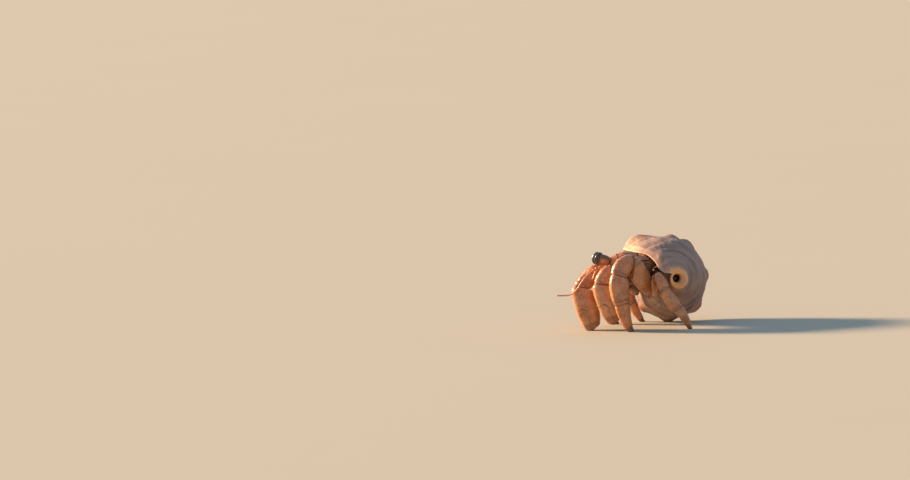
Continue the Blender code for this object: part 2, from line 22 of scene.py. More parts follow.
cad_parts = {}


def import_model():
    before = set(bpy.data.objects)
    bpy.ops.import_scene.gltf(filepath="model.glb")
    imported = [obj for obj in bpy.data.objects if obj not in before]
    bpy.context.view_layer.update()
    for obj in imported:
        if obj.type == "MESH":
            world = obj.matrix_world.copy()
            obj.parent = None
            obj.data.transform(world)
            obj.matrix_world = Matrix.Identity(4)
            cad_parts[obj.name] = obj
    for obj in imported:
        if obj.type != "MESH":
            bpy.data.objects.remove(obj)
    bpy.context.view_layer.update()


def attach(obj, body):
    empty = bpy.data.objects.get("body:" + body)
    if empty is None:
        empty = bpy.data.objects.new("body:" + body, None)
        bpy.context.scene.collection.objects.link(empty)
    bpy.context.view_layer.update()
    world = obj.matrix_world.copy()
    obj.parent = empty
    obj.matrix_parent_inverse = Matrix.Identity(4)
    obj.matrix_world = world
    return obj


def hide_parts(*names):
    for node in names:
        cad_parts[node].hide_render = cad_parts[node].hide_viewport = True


LOG = logging.getLogger("hermit_crab")
BODY = "root"
BASE_MIDDLE = Vector((-5.31, -0.51, 0.0))
MILLIMETRE = 0.001   # in metres
TO_FRAME = Matrix.Scale(MILLIMETRE, 4) @ Matrix.Translation(-BASE_MIDDLE)
JOINT_GAP = 0.3
SHRINK = 0.93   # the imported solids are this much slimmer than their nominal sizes
HIP_SHARE = 0.62   # a hip's thickness against the height of the limb's first segment
ASIDE = Vector((0, 1, 0))
AHEAD = Vector((-1, 0, 0))
UP = Vector((0, 0, 1))

BMesh = bmesh.types.BMesh
Colour = tuple[float, float, float]
Triple = tuple[float, float, float]
Spot = tuple[Vector, dict[str, float]]   # a point, and the numbers that the material reads there


class Slot(Enum):
    """The record's material slots."""

    SHELL = "worn_shell"
    SKIN = "soft_skin"
    PLATE = "orange_plate"
    EYE = "dark_eye"


# ---------------------------------------------------------------- small maths


def clamp(value: float, low: float = 0.0, high: float = 1.0) -> float:
    """Keeps a value between two limits."""
    return min(max(value, low), high)


def ease(share: float) -> float:
    """A smooth step from 0 to 1."""
    share = clamp(share)
    return share * share * (3 - 2 * share)


def swell(offset: float) -> float:
    """A smooth hump: 1 at no offset, 0 from an offset of 1 on."""
    return 0.5 + 0.5 * math.cos(math.pi * min(abs(offset), 1.0))


def arch(share: float) -> float:
    """A quarter of a circle, from 1 at a share of 0 down to 0 at 1."""
    return math.sqrt(max(0.0, 1 - share ** 2))


def turn_between(first: float, second: float) -> float:
    """How far apart two angles are, in degrees."""
    return abs((first - second + 180) % 360 - 180)


def soft_limit(value: float, softness: float) -> float:
    """Passes negative values on and bends positive ones down to zero, round a soft corner.

    Args:
        value: How far a point is past the limit.
        softness: How far from the limit the bend starts.

    Returns:
        The value that the point is allowed.
    """
    if value < -12 * softness:
        return value
    if value > 12 * softness:
        return 0.0
    return -softness * math.log1p(math.exp(-value / softness))


def curve_through(knots: Sequence[float], values: Sequence[float], at: float) -> float:
    """A smooth curve through a few values.

    Args:
        knots: Where the values stand, rising.
        values: The values.
        at: Where to read the curve.

    Returns:
        The curve's value there, held at the ends.
    """
    if at <= knots[0]:
        return values[0]
    if at >= knots[-1]:
        return values[-1]
    slopes = [(b - a) / (q - p) for a, b, p, q in zip(values, values[1:], knots, knots[1:])]
    tangents = [slopes[0]] + [(a + b) / 2 for a, b in zip(slopes, slopes[1:])] + [slopes[-1]]
    i = next(k for k in range(len(knots) - 1) if at <= knots[k + 1])
    span = knots[i + 1] - knots[i]
    t = (at - knots[i]) / span
    return (
        values[i] * (1 + 2 * t) * (1 - t) ** 2
        + tangents[i] * span * t * (1 - t) ** 2
        + values[i + 1] * t * t * (3 - 2 * t)
        + tangents[i + 1] * span * t * t * (t - 1)
    )


def read_table(table: Sequence[Sequence[float]], at: float) -> list[float]:
    """Smooth curves through the columns of a table, read at one place of its first column."""
    knots, *columns = zip(*table)
    return [curve_through(knots, column, at) for column in columns]


def read_rows(rows: Sequence[Sequence[float]], at: float) -> list[float]:
    """Smooth curves through the columns of rows that stand evenly from 0 to 1."""
    return read_table([(i / (len(rows) - 1), *row) for i, row in enumerate(rows)], at)


def smooth_line(points: Sequence[Sequence[float]], at: float) -> Vector:
    """A place on the smooth curve through some points, from 0 at the first to 1 at the last."""
    return Vector(read_rows(points, at))


def heading(points: Sequence[Sequence[float]], at: float, step: float) -> Vector:
    """The direction of the smooth curve through some points."""
    return (smooth_line(points, min(at + step, 1)) - smooth_line(points, max(at - step, 0))).normalized()


def lump(point: Vector, size: float, height: float = 1.0) -> float:
    """Smooth unevenness of one size, up to about a height up or down."""
    return noise.noise(point / size) * height


def bead(point: Vector, size: float, reach: float) -> float:
    """How high a place is in a field of granules, from 0 between them to 1 on one."""
    return max(0.0, 1 - noise.voronoi(point / size)[0][0] / reach)


def stood(point: Vector, softness: float) -> Vector:
    """Keeps a point above the floor, round a soft corner."""
    point.z = -soft_limit(-point.z, softness)
    return point


def oval(
    ways: Sequence[Vector], halves: Sequence[float], angle: float, square: float = 0.0, grow: float = 0.0
) -> Vector:
    """The way from the middle of an oval to its rim.

    Args:
        ways: The oval's side and upright directions.
        halves: Its half width and half height.
        angle: Where on the rim, in radians.
        square: How much fuller its corners are than an oval's.
        grow: How far beyond the rim.

    Returns:
        That way.
    """
    full = 1 + square * math.sin(2 * angle) ** 2
    wide, tall = (half * full + grow for half in halves)
    return ways[0] * (math.cos(angle) * wide) + ways[1] * (math.sin(angle) * tall)


# ---------------------------------------------------------------- shader graphs


class Wire:
    """A value in a shader graph. Python's operators on it add Math nodes."""

    def __init__(self, graph: Graph, socket: bpy.types.NodeSocket) -> None:
        """Wraps an output socket of the graph."""
        self.graph = graph
        self.socket = socket

    def _maths(self, operation: str, first: Wire | float, second: Wire | float) -> Wire:
        """Adds one Math node."""
        return self.graph.add("ShaderNodeMath", {"operation": operation}, {0: first, 1: second})

    def __add__(self, other: Wire | float) -> Wire:
        """Sum."""
        return self._maths("ADD", self, other)

    __radd__ = __add__

    def __mul__(self, other: Wire | float) -> Wire:
        """Product."""
        return self._maths("MULTIPLY", self, other)

    __rmul__ = __mul__

    def __sub__(self, other: Wire | float) -> Wire:
        """Difference."""
        return self._maths("SUBTRACT", self, other)

    def __rsub__(self, other: Wire | float) -> Wire:
        """Difference, the other way round."""
        return self._maths("SUBTRACT", other, self)

    def between(self, low: float, high: float) -> Wire:
        """A smooth step from 0 at low to 1 at high."""
        settings = {"interpolation_type": "SMOOTHSTEP"}
        return self.graph.add("ShaderNodeMapRange", settings, {0: self, 1: low, 2: high, 3: 0.0, 4: 1.0})


class Graph:
    """A material and its nodes, which all come from one method."""

    def __init__(self, name: str) -> None:
        """Starts a material with its Principled shader.

        Args:
            name: The material's name.
        """
        self.material = bpy.data.materials.new(name)
        self.material.use_nodes = True
        self.tree = self.material.node_tree
        self.shader = self.tree.nodes["Principled BSDF"]

    def add(self, kind: str, settings: dict, inputs: dict, out: int | str = 0) -> Wire:
        """Adds a node.

        Args:
            kind: The node's type.
            settings: Its properties.
            inputs: Values or wires by socket name or number.
            out: The output to return.

        Returns:
            That output as a wire.
        """
        node = self.tree.nodes.new(kind)
        for name, value in settings.items():
            setattr(node, name, value)
        for key, value in inputs.items():
            self.feed(node.inputs[key], value)
        return Wire(self, node.outputs[out])

    def feed(self, socket: bpy.types.NodeSocket, value: Wire | float | Sequence[float]) -> None:
        """Links a wire to a socket, or sets its value.

        Args:
            socket: The input socket.
            value: A wire to link, or a value to set.
        """
        if isinstance(value, Wire):
            self.tree.links.new(value.socket, socket)
        else:
            socket.default_value = value

    def shade(self, **inputs: Wire | float | Sequence[float]) -> bpy.types.Material:
        """Feeds the Principled shader, with underscores for spaces, and returns the material."""
        for name, value in inputs.items():
            self.feed(self.shader.inputs[name.replace("_", " ")], value)
        return self.material

    def place(self) -> Wire:
        """The object coordinates."""
        return self.add("ShaderNodeTexCoord", {}, {}, "Object")

    def trait(self, name: str) -> Wire:
        """A number that the mesh carries at its points."""
        return self.add("ShaderNodeAttribute", {"attribute_name": name}, {}, "Fac")

    def grain(self, vector: Wire, scale: float, detail: float = 4.0, roughness: float = 0.6) -> Wire:
        """Noise from 0 to 1."""
        inputs = {"Vector": vector, "Scale": scale, "Detail": detail, "Roughness": roughness}
        return self.add("ShaderNodeTexNoise", {}, inputs, "Fac")

    def cells(self, vector: Wire, scale: float) -> Wire:
        """Distance to the nearest cell's middle."""
        return self.add("ShaderNodeTexVoronoi", {}, {"Vector": vector, "Scale": scale}, "Distance")

    def join(self, x: Wire, y: Wire) -> Wire:
        """Two numbers as a vector."""
        return self.add("ShaderNodeCombineXYZ", {}, {0: x, 1: y})

    def blend(self, share: Wire, first: Wire | Colour, second: Wire | Colour) -> Wire:
        """Mixes two colours."""
        ends = [end if isinstance(end, Wire) else (*end, 1.0) for end in (first, second)]
        return self.add("ShaderNodeMix", {"data_type": "RGBA"}, {0: share, 6: ends[0], 7: ends[1]}, 2)

    def paint(self, colour: Wire, *coats: tuple[Wire, Wire | Colour]) -> Wire:
        """Lays colours over one another, each with the share that it covers."""
        for share, coat in coats:
            colour = self.blend(share, colour, coat)
        return colour

    def bump(self, height: Wire, strength: float, depth: float, under: Wire | None = None) -> Wire:
        """A normal raised by a height, over another normal.

        Args:
            height: The height.
            strength: How strongly it shows.
            depth: Its depth in metres.
            under: The normal beneath it.

        Returns:
            The normal.
        """
        inputs = {"Height": height, "Strength": strength, "Distance": depth}
        if under is not None:
            inputs["Normal"] = under
        return self.add("ShaderNodeBump", {}, inputs)


# ---------------------------------------------------------------- finishes


@dataclass(frozen=True)
class PlateFinish:
    """Hard orange-brown crab plate: mottled, with pale granules, dark claw tips and a waxy gloss."""

    name: str = "orange_plate"
    deep: Colour = (0.44, 0.132, 0.036)
    warm: Colour = (0.64, 0.235, 0.066)
    pale: Colour = (0.78, 0.46, 0.24)
    stain: Colour = (0.16, 0.055, 0.028)
    horn: Colour = (0.075, 0.032, 0.020)
    mottle_scale: float = 300.0
    fleck_scale: float = 1500.0
    freckle_scale: float = 950.0
    pore_scale: float = 2600.0

    def make(self) -> bpy.types.Material:
        """Builds the material.

        Returns:
            The material.
        """
        g = Graph(self.name)
        place = g.place()
        mottle = g.grain(place, self.mottle_scale, 5.0)
        cloud = g.grain(place, self.mottle_scale * 0.35, 2.0)
        veins = g.grain(place, self.mottle_scale * 1.9, 6.0, 0.72)
        fleck = g.grain(place, self.fleck_scale, 3.0)
        freckle = g.cells(place, self.freckle_scale).between(0.26, 0.12)
        colour = g.paint(
            g.blend(mottle.between(0.34, 0.66), self.deep, self.warm),
            (cloud.between(0.45, 0.75) * 0.5, self.pale),
            (veins.between(0.42, 0.30) * 0.55, self.stain),
            (veins.between(0.60, 0.72) * 0.45, self.pale),
            (fleck.between(0.58, 0.70) * 0.4, self.stain),
            (freckle * mottle.between(0.40, 0.60) * 0.7, self.stain),
            (g.trait("grain") * 0.42, self.pale),
            (g.trait("edge") * (0.35 + 0.6 * mottle), self.stain),
            (g.trait("tip"), self.horn),
        )
        normal = g.bump(g.cells(place, self.pore_scale).between(0.0, 0.45), 0.35, 0.00006)
        normal = g.bump(g.grain(place, self.pore_scale * 0.7, 4.0), 0.4, 0.00009, normal)
        normal = g.bump(veins, 0.3, 0.00016, normal)
        return g.shade(
            Base_Color=colour, Roughness=fleck * 0.25 + 0.24, Normal=normal, IOR=1.5,
            Coat_Weight=0.6, Coat_Roughness=0.24,
            Subsurface_Weight=0.45, Subsurface_Radius=(1.0, 0.42, 0.18), Subsurface_Scale=0.0016,
        )


@dataclass(frozen=True)
class SkinFinish:
    """Soft skin between the plates: fleshy tan, finely wrinkled with painted shade in the wrinkles, dull."""

    name: str = "soft_skin"
    flesh: Colour = (0.25, 0.122, 0.074)
    pink: Colour = (0.33, 0.172, 0.112)
    # painted shade: the colour that the hollows of the wrinkles darken towards
    painted_fold_shade: Colour = (0.12, 0.055, 0.036)

    def make(self) -> bpy.types.Material:
        """Builds the material.

        Returns:
            The material.
        """
        g = Graph(self.name)
        place = g.place()
        folds = g.grain(place, 1400.0, 3.0)
        colour = g.blend(g.grain(place, 300.0).between(0.35, 0.65), self.flesh, self.pink)
        # painted shade in the hollows of the folds, which the bump below also lowers
        colour = g.blend(folds.between(0.55, 0.40) * 0.7, colour, self.painted_fold_shade)
        normal = g.bump(g.cells(place, 3200.0), 0.3, 0.00005, g.bump(folds, 0.5, 0.0002))
        return g.shade(
            Base_Color=colour, Roughness=0.55, Normal=normal,
            Subsurface_Weight=0.2, Subsurface_Radius=(1.0, 0.4, 0.25), Subsurface_Scale=0.001,
        )


@dataclass(frozen=True)
class EyeFinish:
    """A dark, wet-looking compound eye, with a brown haze towards its stalk."""

    name: str = "dark_eye"
    black: Colour = (0.022, 0.014, 0.012)
    amber: Colour = (0.075, 0.036, 0.024)
    brown: Colour = (0.20, 0.085, 0.042)

    def make(self) -> bpy.types.Material:
        """Builds the material.

        Returns:
            The material.
        """
        g = Graph(self.name)
        place = g.place()
        colour = g.blend(g.grain(place, 500.0).between(0.4, 0.6), self.black, self.amber)
        colour = g.blend(g.trait("tip"), colour, self.brown)
        normal = g.bump(g.cells(place, 9000.0), 0.12, 0.00003)
        return g.shade(
            Base_Color=colour, Roughness=0.3, Normal=normal, Coat_Weight=0.5, Coat_Roughness=0.16, IOR=1.42,
        )


@dataclass(frozen=True)
class ShellFinish:
    """Worn sea shell: grey-brown whorls with darker spiral bands, rusty knobs, a cream lip and painted shade
    in its mouth and siphon hole.
    """

    name: str = "worn_shell"
    dusk: Colour = (0.215, 0.120, 0.098)
    mauve: Colour = (0.375, 0.218, 0.162)
    chalk: Colour = (0.44, 0.31, 0.23)
    rust: Colour = (0.40, 0.120, 0.062)
    cream: Colour = (0.62, 0.44, 0.265)
    peach: Colour = (0.56, 0.30, 0.17)
    amber: Colour = (0.90, 0.38, 0.12)
    alga: Colour = (0.14, 0.12, 0.085)
    blush: Colour = (0.47, 0.255, 0.165)
    # painted shade: the colour that the mouth's hollow, the turn beneath the lip and the siphon hole darken
    # towards
    painted_hollow_shade: Colour = (0.045, 0.022, 0.014)

    def make(self) -> bpy.types.Material:
        """Builds the material.

        Returns:
            The material.
        """
        g = Graph(self.name)
        place = g.place()
        down, turn, lip, inside, ring = (g.trait(name) for name in ("down", "turn", "lip", "inside", "ring"))
        growth = g.grain(g.join(turn * 90.0, down * 3.0), 1.0, 5.0, 0.7)
        bands = g.grain(g.join(turn * 4.0, down * 17.0), 1.0, 4.0)
        patches = g.grain(place, 130.0, 6.0, 0.65)
        rusty = (g.trait("knob") * (0.5 + patches)).between(0.18, 0.60)
        worn = (lip * (0.35 + patches + 0.4 * growth)).between(0.26, 0.72)
        edge = g.paint(
            g.blend((down + 0.25 * patches).between(0.60, 0.84), self.cream, self.blush),
            (growth.between(0.42, 0.60) * 0.6, self.blush),
            (rusty * patches.between(0.47, 0.60) * 0.6, self.rust),
        )
        colour = g.paint(
            g.blend(bands.between(0.36, 0.62), self.dusk, self.mauve),
            (growth.between(0.50, 0.78) * 0.35, self.chalk),
            (g.trait("cord") * 0.30, self.chalk),
            (patches.between(0.58, 0.72) * 0.45, self.chalk),
            (patches.between(0.44, 0.30) * 0.4, self.alga),
            (rusty * 0.9, self.rust),
            (worn, edge),
            (inside, g.blend(g.grain(place, 220.0).between(0.35, 0.7), self.peach, self.cream)),
            ((ring + 0.6 * patches - 0.3).between(0.15, 0.95), self.amber),
            # painted shade, from the deep trait: darker into the mouth's hollow and down the siphon hole
            (g.trait("deep"), self.painted_hollow_shade),
        )
        normal = g.bump(growth * 0.5 + g.grain(place, 900.0, 6.0, 0.7) * 0.8, 0.55, 0.00022)
        normal = g.bump(g.cells(place, 1700.0).between(0.0, 0.35), 0.18, 0.00008, normal)
        return g.shade(
            Base_Color=colour, Roughness=0.62 - inside * 0.34 - worn * 0.12 - ring * 0.2, Normal=normal,
            Coat_Weight=inside * 0.4 + ring * 0.3, Coat_Roughness=0.2,
        )


@dataclass(frozen=True)
class HairFinish:
    """Short amber bristles."""

    name: str = "amber_bristle"
    root: Colour = (0.16, 0.065, 0.025)
    tip: Colour = (0.55, 0.30, 0.13)

    def make(self) -> bpy.types.Material:
        """Builds the material."""
        g = Graph(self.name)
        colour = g.blend(g.trait("tip"), self.root, self.tip)
        return g.shade(Base_Color=colour, Roughness=0.42)


@dataclass(frozen=True)
class StudioFinish:
    """A plain pale floor."""

    name: str = "pale_floor"
    colour: Colour = (0.47, 0.41, 0.335)

    def make(self) -> bpy.types.Material:
        """Builds the material."""
        g = Graph(self.name)
        soft = g.grain(g.place(), 6.0, 2.0)
        shades = [tuple(c * k for c in self.colour) for k in (0.97, 1.0)]
        return g.shade(Base_Color=g.blend(soft, shades[0], shades[1]), Roughness=0.9)


# ---------------------------------------------------------------- pieces


def mesh_of(name: str, bm: BMesh) -> bpy.types.Mesh:
    """Turns a bmesh, which is used up, into a mesh.

    Args:
        name: The mesh's name.
        bm: The bmesh.

    Returns:
        The mesh.
    """
    mesh = bpy.data.meshes.new(name)
    bm.to_mesh(mesh)
    bm.free()
    return mesh


def put_in_scene(name: str, data: bpy.types.ID) -> bpy.types.Object:
    """Makes an object of some data and links it to the scene."""
    obj = bpy.data.objects.new(name, data)
    bpy.context.scene.collection.objects.link(obj)
    return obj


class Workshop:
    """Turns finished meshes into pieces that ride on the frame."""

    def __init__(self) -> None:
        """Makes each finish once."""
        self.materials = {
            Slot.SHELL: ShellFinish().make(),
            Slot.SKIN: SkinFinish().make(),
            Slot.PLATE: PlateFinish().make(),
            Slot.EYE: EyeFinish().make(),
        }
        self.hair = HairFinish().make()

    def piece(
        self,
        name: str,
        bm: BMesh,
        slot: Slot,
        nodes: Sequence[str] = (),
        material: bpy.types.Material | None = None,
    ) -> None:
        """Finishes a mesh: into metres, normals out, smooth, dressed and riding.

        Args:
            name: The piece's name.
            bm: Its mesh in the maker's millimetres, which is used up.
            slot: The record's slot that it takes its finish from.
            nodes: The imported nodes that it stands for.
            material: Another material than the slot's own.
        """
        bmesh.ops.recalc_face_normals(bm, faces=bm.faces)
        bmesh.ops.transform(bm, matrix=TO_FRAME, verts=bm.verts)
        mesh = mesh_of(name, bm)
        mesh.shade_smooth()
        mesh.materials.append(material or self.materials[slot])
        obj = put_in_scene(name, mesh)
        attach(obj, BODY)
        if nodes:
            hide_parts(*nodes)
        LOG.info("%s: %d faces", name, len(mesh.polygons))


def put(bm: BMesh, vert: bmesh.types.BMVert, spot: Spot) -> None:
    """Moves a point to its place and writes the numbers that the material reads there."""
    vert.co = spot[0]
    for name, value in spot[1].items():
        vert[bm.verts.layers.float[name]] = value


def loft(stations: Sequence[float], sides: int, spot: Callable[[float, float], Spot]) -> BMesh:
    """A closed tube, drawn out of a circle ring by ring.

    Args:
        stations: Shares of the length at which a ring stands.
        sides: Points in a ring.
        spot: Gives a point and its traits from the share along and the angle round.

    Returns:
        The closed mesh.
    """
    bm = bmesh.new()
    for name in ("angle", *spot(0.5, 0.0)[1]):
        bm.verts.layers.float.new(name)
    bmesh.ops.create_circle(bm, cap_ends=True, segments=sides, radius=1.0)
    angle_of = bm.verts.layers.float["angle"]
    for vert in bm.verts:
        vert[angle_of] = math.atan2(vert.co.y, vert.co.x)
    bm.faces.ensure_lookup_table()
    first_cap = cap = bm.faces[0]
    for i, share in enumerate(stations):
        if i:
            moved = bmesh.ops.extrude_face_region(bm, geom=[cap])["geom"]
            if cap is not first_cap:
                bmesh.ops.delete(bm, geom=[cap], context="FACES_ONLY")
            cap = next(item for item in moved if isinstance(item, bmesh.types.BMFace))
        for vert in cap.verts:
            put(bm, vert, spot(share, vert[angle_of]))
    bmesh.ops.poke(bm, faces=[first_cap, cap])
    return bm


def sheet(columns: int, rows: int, spot: Callable[[int, int], Spot]) -> BMesh:
    """A grid bent into place.

    Args:
        columns: Points across.
        rows: Points down.
        spot: Gives a point and its traits from its column and row.

    Returns:
        The open mesh.
    """
    bm = bmesh.new()
    for name in spot(0, 0)[1]:
        bm.verts.layers.float.new(name)
    bmesh.ops.create_grid(bm, x_segments=columns - 1, y_segments=rows - 1, size=0.5)
    for vert in bm.verts:
        column = round((vert.co.x + 0.5) * (columns - 1))
        row = round((vert.co.y + 0.5) * (rows - 1))
        put(bm, vert, spot(column, row))
    return bm


def join_meshes(parts: Iterable[BMesh]) -> BMesh:
    """Puts several meshes into one, with the numbers that they carry.

    Args:
        parts: The meshes, which are used up.

    Returns:
        The one mesh.
    """
    whole = bmesh.new()
    for part in parts:
        scratch = mesh_of("scratch", part)
        whole.from_mesh(scratch)
        bpy.data.meshes.remove(scratch)
    return whole


def crowded_ends(count: int, crowding: float = 0.6) -> list[float]:
    """Shares from 0 to 1 that stand closer together at both ends."""
    even = (i / (count - 1) for i in range(count))
    return [t - crowding * math.sin(math.tau * t) / math.tau for t in even]


@dataclass(frozen=True)
class Stop:
    """A plane that ends a piece, round a soft corner."""

    point: Vector
    outward: Vector
    softness: float = 0.16

    def hold(self, position: Vector, way: Vector) -> Vector:
        """Moves a point back to the plane, along the given way."""
        beyond = (position - self.point).dot(self.outward)
        return position + way * ((soft_limit(beyond, self.softness) - beyond) / way.dot(self.outward))


# ---------------------------------------------------------------- limbs


@dataclass(frozen=True)
class Armour:
    """The relief of a hard plate: granules, rows of spinules, dents and raised rims. Sizes in millimetres."""

    granule_size: float = 0.62
    granule_height: float = 0.075
    dent_size: float = 3.2
    dent_height: float = 0.16
    # rows of spinules: degrees round the limb, spacing, height
    rows: tuple[Triple, ...] = ((90.0, 0.85, 0.12), (62.0, 0.95, 0.07), (118.0, 1.0, 0.07))
    row_reach: float = 9.0
    rim_height: float = 0.13
    smooth_side: float = -90.0

    def raise_at(self, point: Vector, share: float, angle: float, length: float) -> Triple:
        """Height at one place.

        Args:
            point: The place before it is raised.
            share: Share of the length of the segment.
            angle: Angle round it, in radians.
            length: The segment's length.

        Returns:
            The height, how much of it is granule, and how much is the rim's edge.
        """
        degrees = math.degrees(angle)
        rough = 0.25 + 0.75 * ease(turn_between(degrees, self.smooth_side) / 100)
        granule = bead(point, self.granule_size, 0.52) ** 0.8 * rough
        granule = granule * ease(share * 7) * ease((1 - share) * 8)
        height = granule * self.granule_height
        height += (lump(point, self.dent_size, 0.7) + lump(point, 1.1, 0.2)) * self.dent_height
        for middle, spacing, row_height in self.rows:
            off = turn_between(degrees, middle) / self.row_reach
            if off < 3:
                uneven = share * length / spacing + middle + lump(point, 2.0, 0.5)
                beat = max(0.0, math.cos(math.tau * uneven)) ** 1.4
                spine = math.exp(-off * off) * beat * ease(share * 6) * ease((1 - share) * 7)
                height += spine * row_height
                granule = max(granule, spine)
        rim = swell((share - 0.93) / 0.05) - 0.7 * swell((share - 0.83) / 0.07)
        rim += 0.6 * swell((share - 0.06) / 0.05)
        edge = swell((share - 0.83) / 0.09) * 0.8 + swell((share - 0.99) / 0.05)
        return height + rim * self.rim_height, clamp(granule), clamp(edge)


RingTable = tuple[Triple, ...]

MERUS: RingTable = ((0.0, 0.66, 0.58), (0.24, 1.0, 0.96), (0.78, 1.12, 1.12), (1.0, 0.92, 0.84))
CARPUS: RingTable = ((0.0, 0.80, 0.72), (0.24, 1.02, 1.0), (0.70, 1.14, 1.14), (1.0, 1.0, 0.96))
PROPODUS: RingTable = ((0.0, 0.90, 0.86), (0.20, 1.06, 1.06), (0.74, 1.06, 1.02), (1.0, 0.90, 0.84))
DACTYL: RingTable = (
    (0.0, 0.94, 0.94), (0.16, 1.02, 1.0), (0.50, 0.92, 0.82), (0.84, 0.58, 0.50), (1.0, 0.28, 0.24),
)
HAND: RingTable = (
    (0.0, 0.86, 0.84), (0.10, 1.02, 1.02), (0.38, 1.10, 1.12), (0.64, 0.98, 1.04), (0.86, 0.70, 0.80),
    (1.0, 0.38, 0.46),
)


@dataclass(eq=False)
class Segment:
    """One hard segment of a limb, between two joints. Sizes in millimetres."""

    name: str
    start: Vector
    end: Vector
    half_width: float
    half_height: float
    rings: RingTable
    side: Vector
    bow: Vector = field(default_factory=Vector)
    stops: tuple[Stop, ...] = ()
    armour: Armour = field(default_factory=Armour)
    horn_from: float = 2.0
    round_start: float = 0.0
    round_end: float = 0.0
    sides: int = 56
    count: int = 60
    on_floor: bool = False
    squareness: float = 0.06
    membrane_size: float = 0.90
    membrane_reach: float = 1.0

    def centre(self, share: float) -> Vector:
        """The middle line."""
        return self.start.lerp(self.end, share) + self.bow * (4 * share * (1 - share))

    def length(self) -> float:
        """The distance from joint to joint."""
        return (self.end - self.start).length

    def chord(self) -> Vector:
        """The direction from joint to joint."""
        return (self.end - self.start).normalized()

    @lru_cache(maxsize=512)
    def across(self, share: float) -> tuple[Vector, Vector]:
        """The side and upright directions of a ring."""
        along = (self.end - self.start + self.bow * (4 - 8 * share)).normalized()
        upright = along.cross(self.side.normalized()).normalized()
        return upright.cross(along).normalized(), upright

    @lru_cache(maxsize=512)
    def sizes(self, share: float) -> tuple[float, float]:
        """Half width and half height of a ring.

        Args:
            share: Share of the length.

        Returns:
            The two sizes.
        """
        wide, tall = read_table(self.rings, share)
        dome = 1.0
        if self.round_start and share < self.round_start:
            dome = arch(1 - share / self.round_start)
        if self.round_end and share > 1 - self.round_end:
            dome = arch(1 - (1 - share) / self.round_end)
        dome = max(dome, 0.03)
        return wide * dome * self.half_width * SHRINK, tall * dome * self.half_height * SHRINK

    def section(self, share: float, angle: float, grow: float = 0.0) -> Vector:
        """A point of the plain surface, before the ends are cut and the relief is added."""
        return self.centre(share) + oval(self.across(share), self.sizes(share), angle, self.squareness, grow)

    def spot(self, share: float, angle: float) -> Spot:
        """A point of the finished surface, and what the material reads there.

        Args:
            share: Share of the length.
            angle: Angle round it, in radians.

        Returns:
            The point and its traits.
        """
        height, granule, edge = self.armour.raise_at(self.section(share, angle), share, angle, self.length())
        height *= min(1.0, min(self.sizes(share)) / 0.6)
        point = self.held(self.section(share, angle, height))
        return point, {"grain": granule, "edge": edge, "tip": self.horn(share, angle)}

    def horn(self, share: float, angle: float) -> float:
        """How dark and horny the place is."""
        return 0.9 * ease((share - self.horn_from) / 0.26)

    def cut(self, point: Vector) -> Vector:
        """A point kept behind the planes at the joints."""
        for stop in self.stops:
            point = stop.hold(point, self.chord())
        return point

    def held(self, point: Vector) -> Vector:
        """A point kept inside its cuts, and above the floor."""
        point = self.cut(point)
        return stood(point, 0.06) if self.on_floor else point

    def build(self) -> BMesh:
        """Builds the segment."""
        return loft(crowded_ends(self.count), self.sides, self.spot)

    def cushion(self, stop: Stop, share: float) -> BMesh:
        """A soft membrane across the cut at one of the joints.

        Args:
            stop: The plane of the cut.
            share: Where on the segment the cut is.

        Returns:
            The closed mesh.
        """
        chord, slant = self.chord(), self.chord().dot(stop.outward)
        centre = self.centre(share)
        centre += chord * ((stop.point - centre).dot(stop.outward) / slant)
        middle = centre + stop.outward * (JOINT_GAP / 2)

        def spot(along: float, angle: float) -> Spot:
            """A point of the membrane."""
            out = self.section(share, angle) - self.centre(share)
            full = out.length
            out -= chord * (out.dot(stop.outward) / slant)
            out *= min(1.0, 1.08 * full / out.length)
            bulge = max(0.02, 1 - abs(2 * along - 1) ** 2.4) ** (1 / 2.4)
            out = out * (self.membrane_size * bulge)
            return middle + out + stop.outward * (self.membrane_reach * (2 * along - 1)), {}

        return loft(crowded_ends(15), 36, spot)


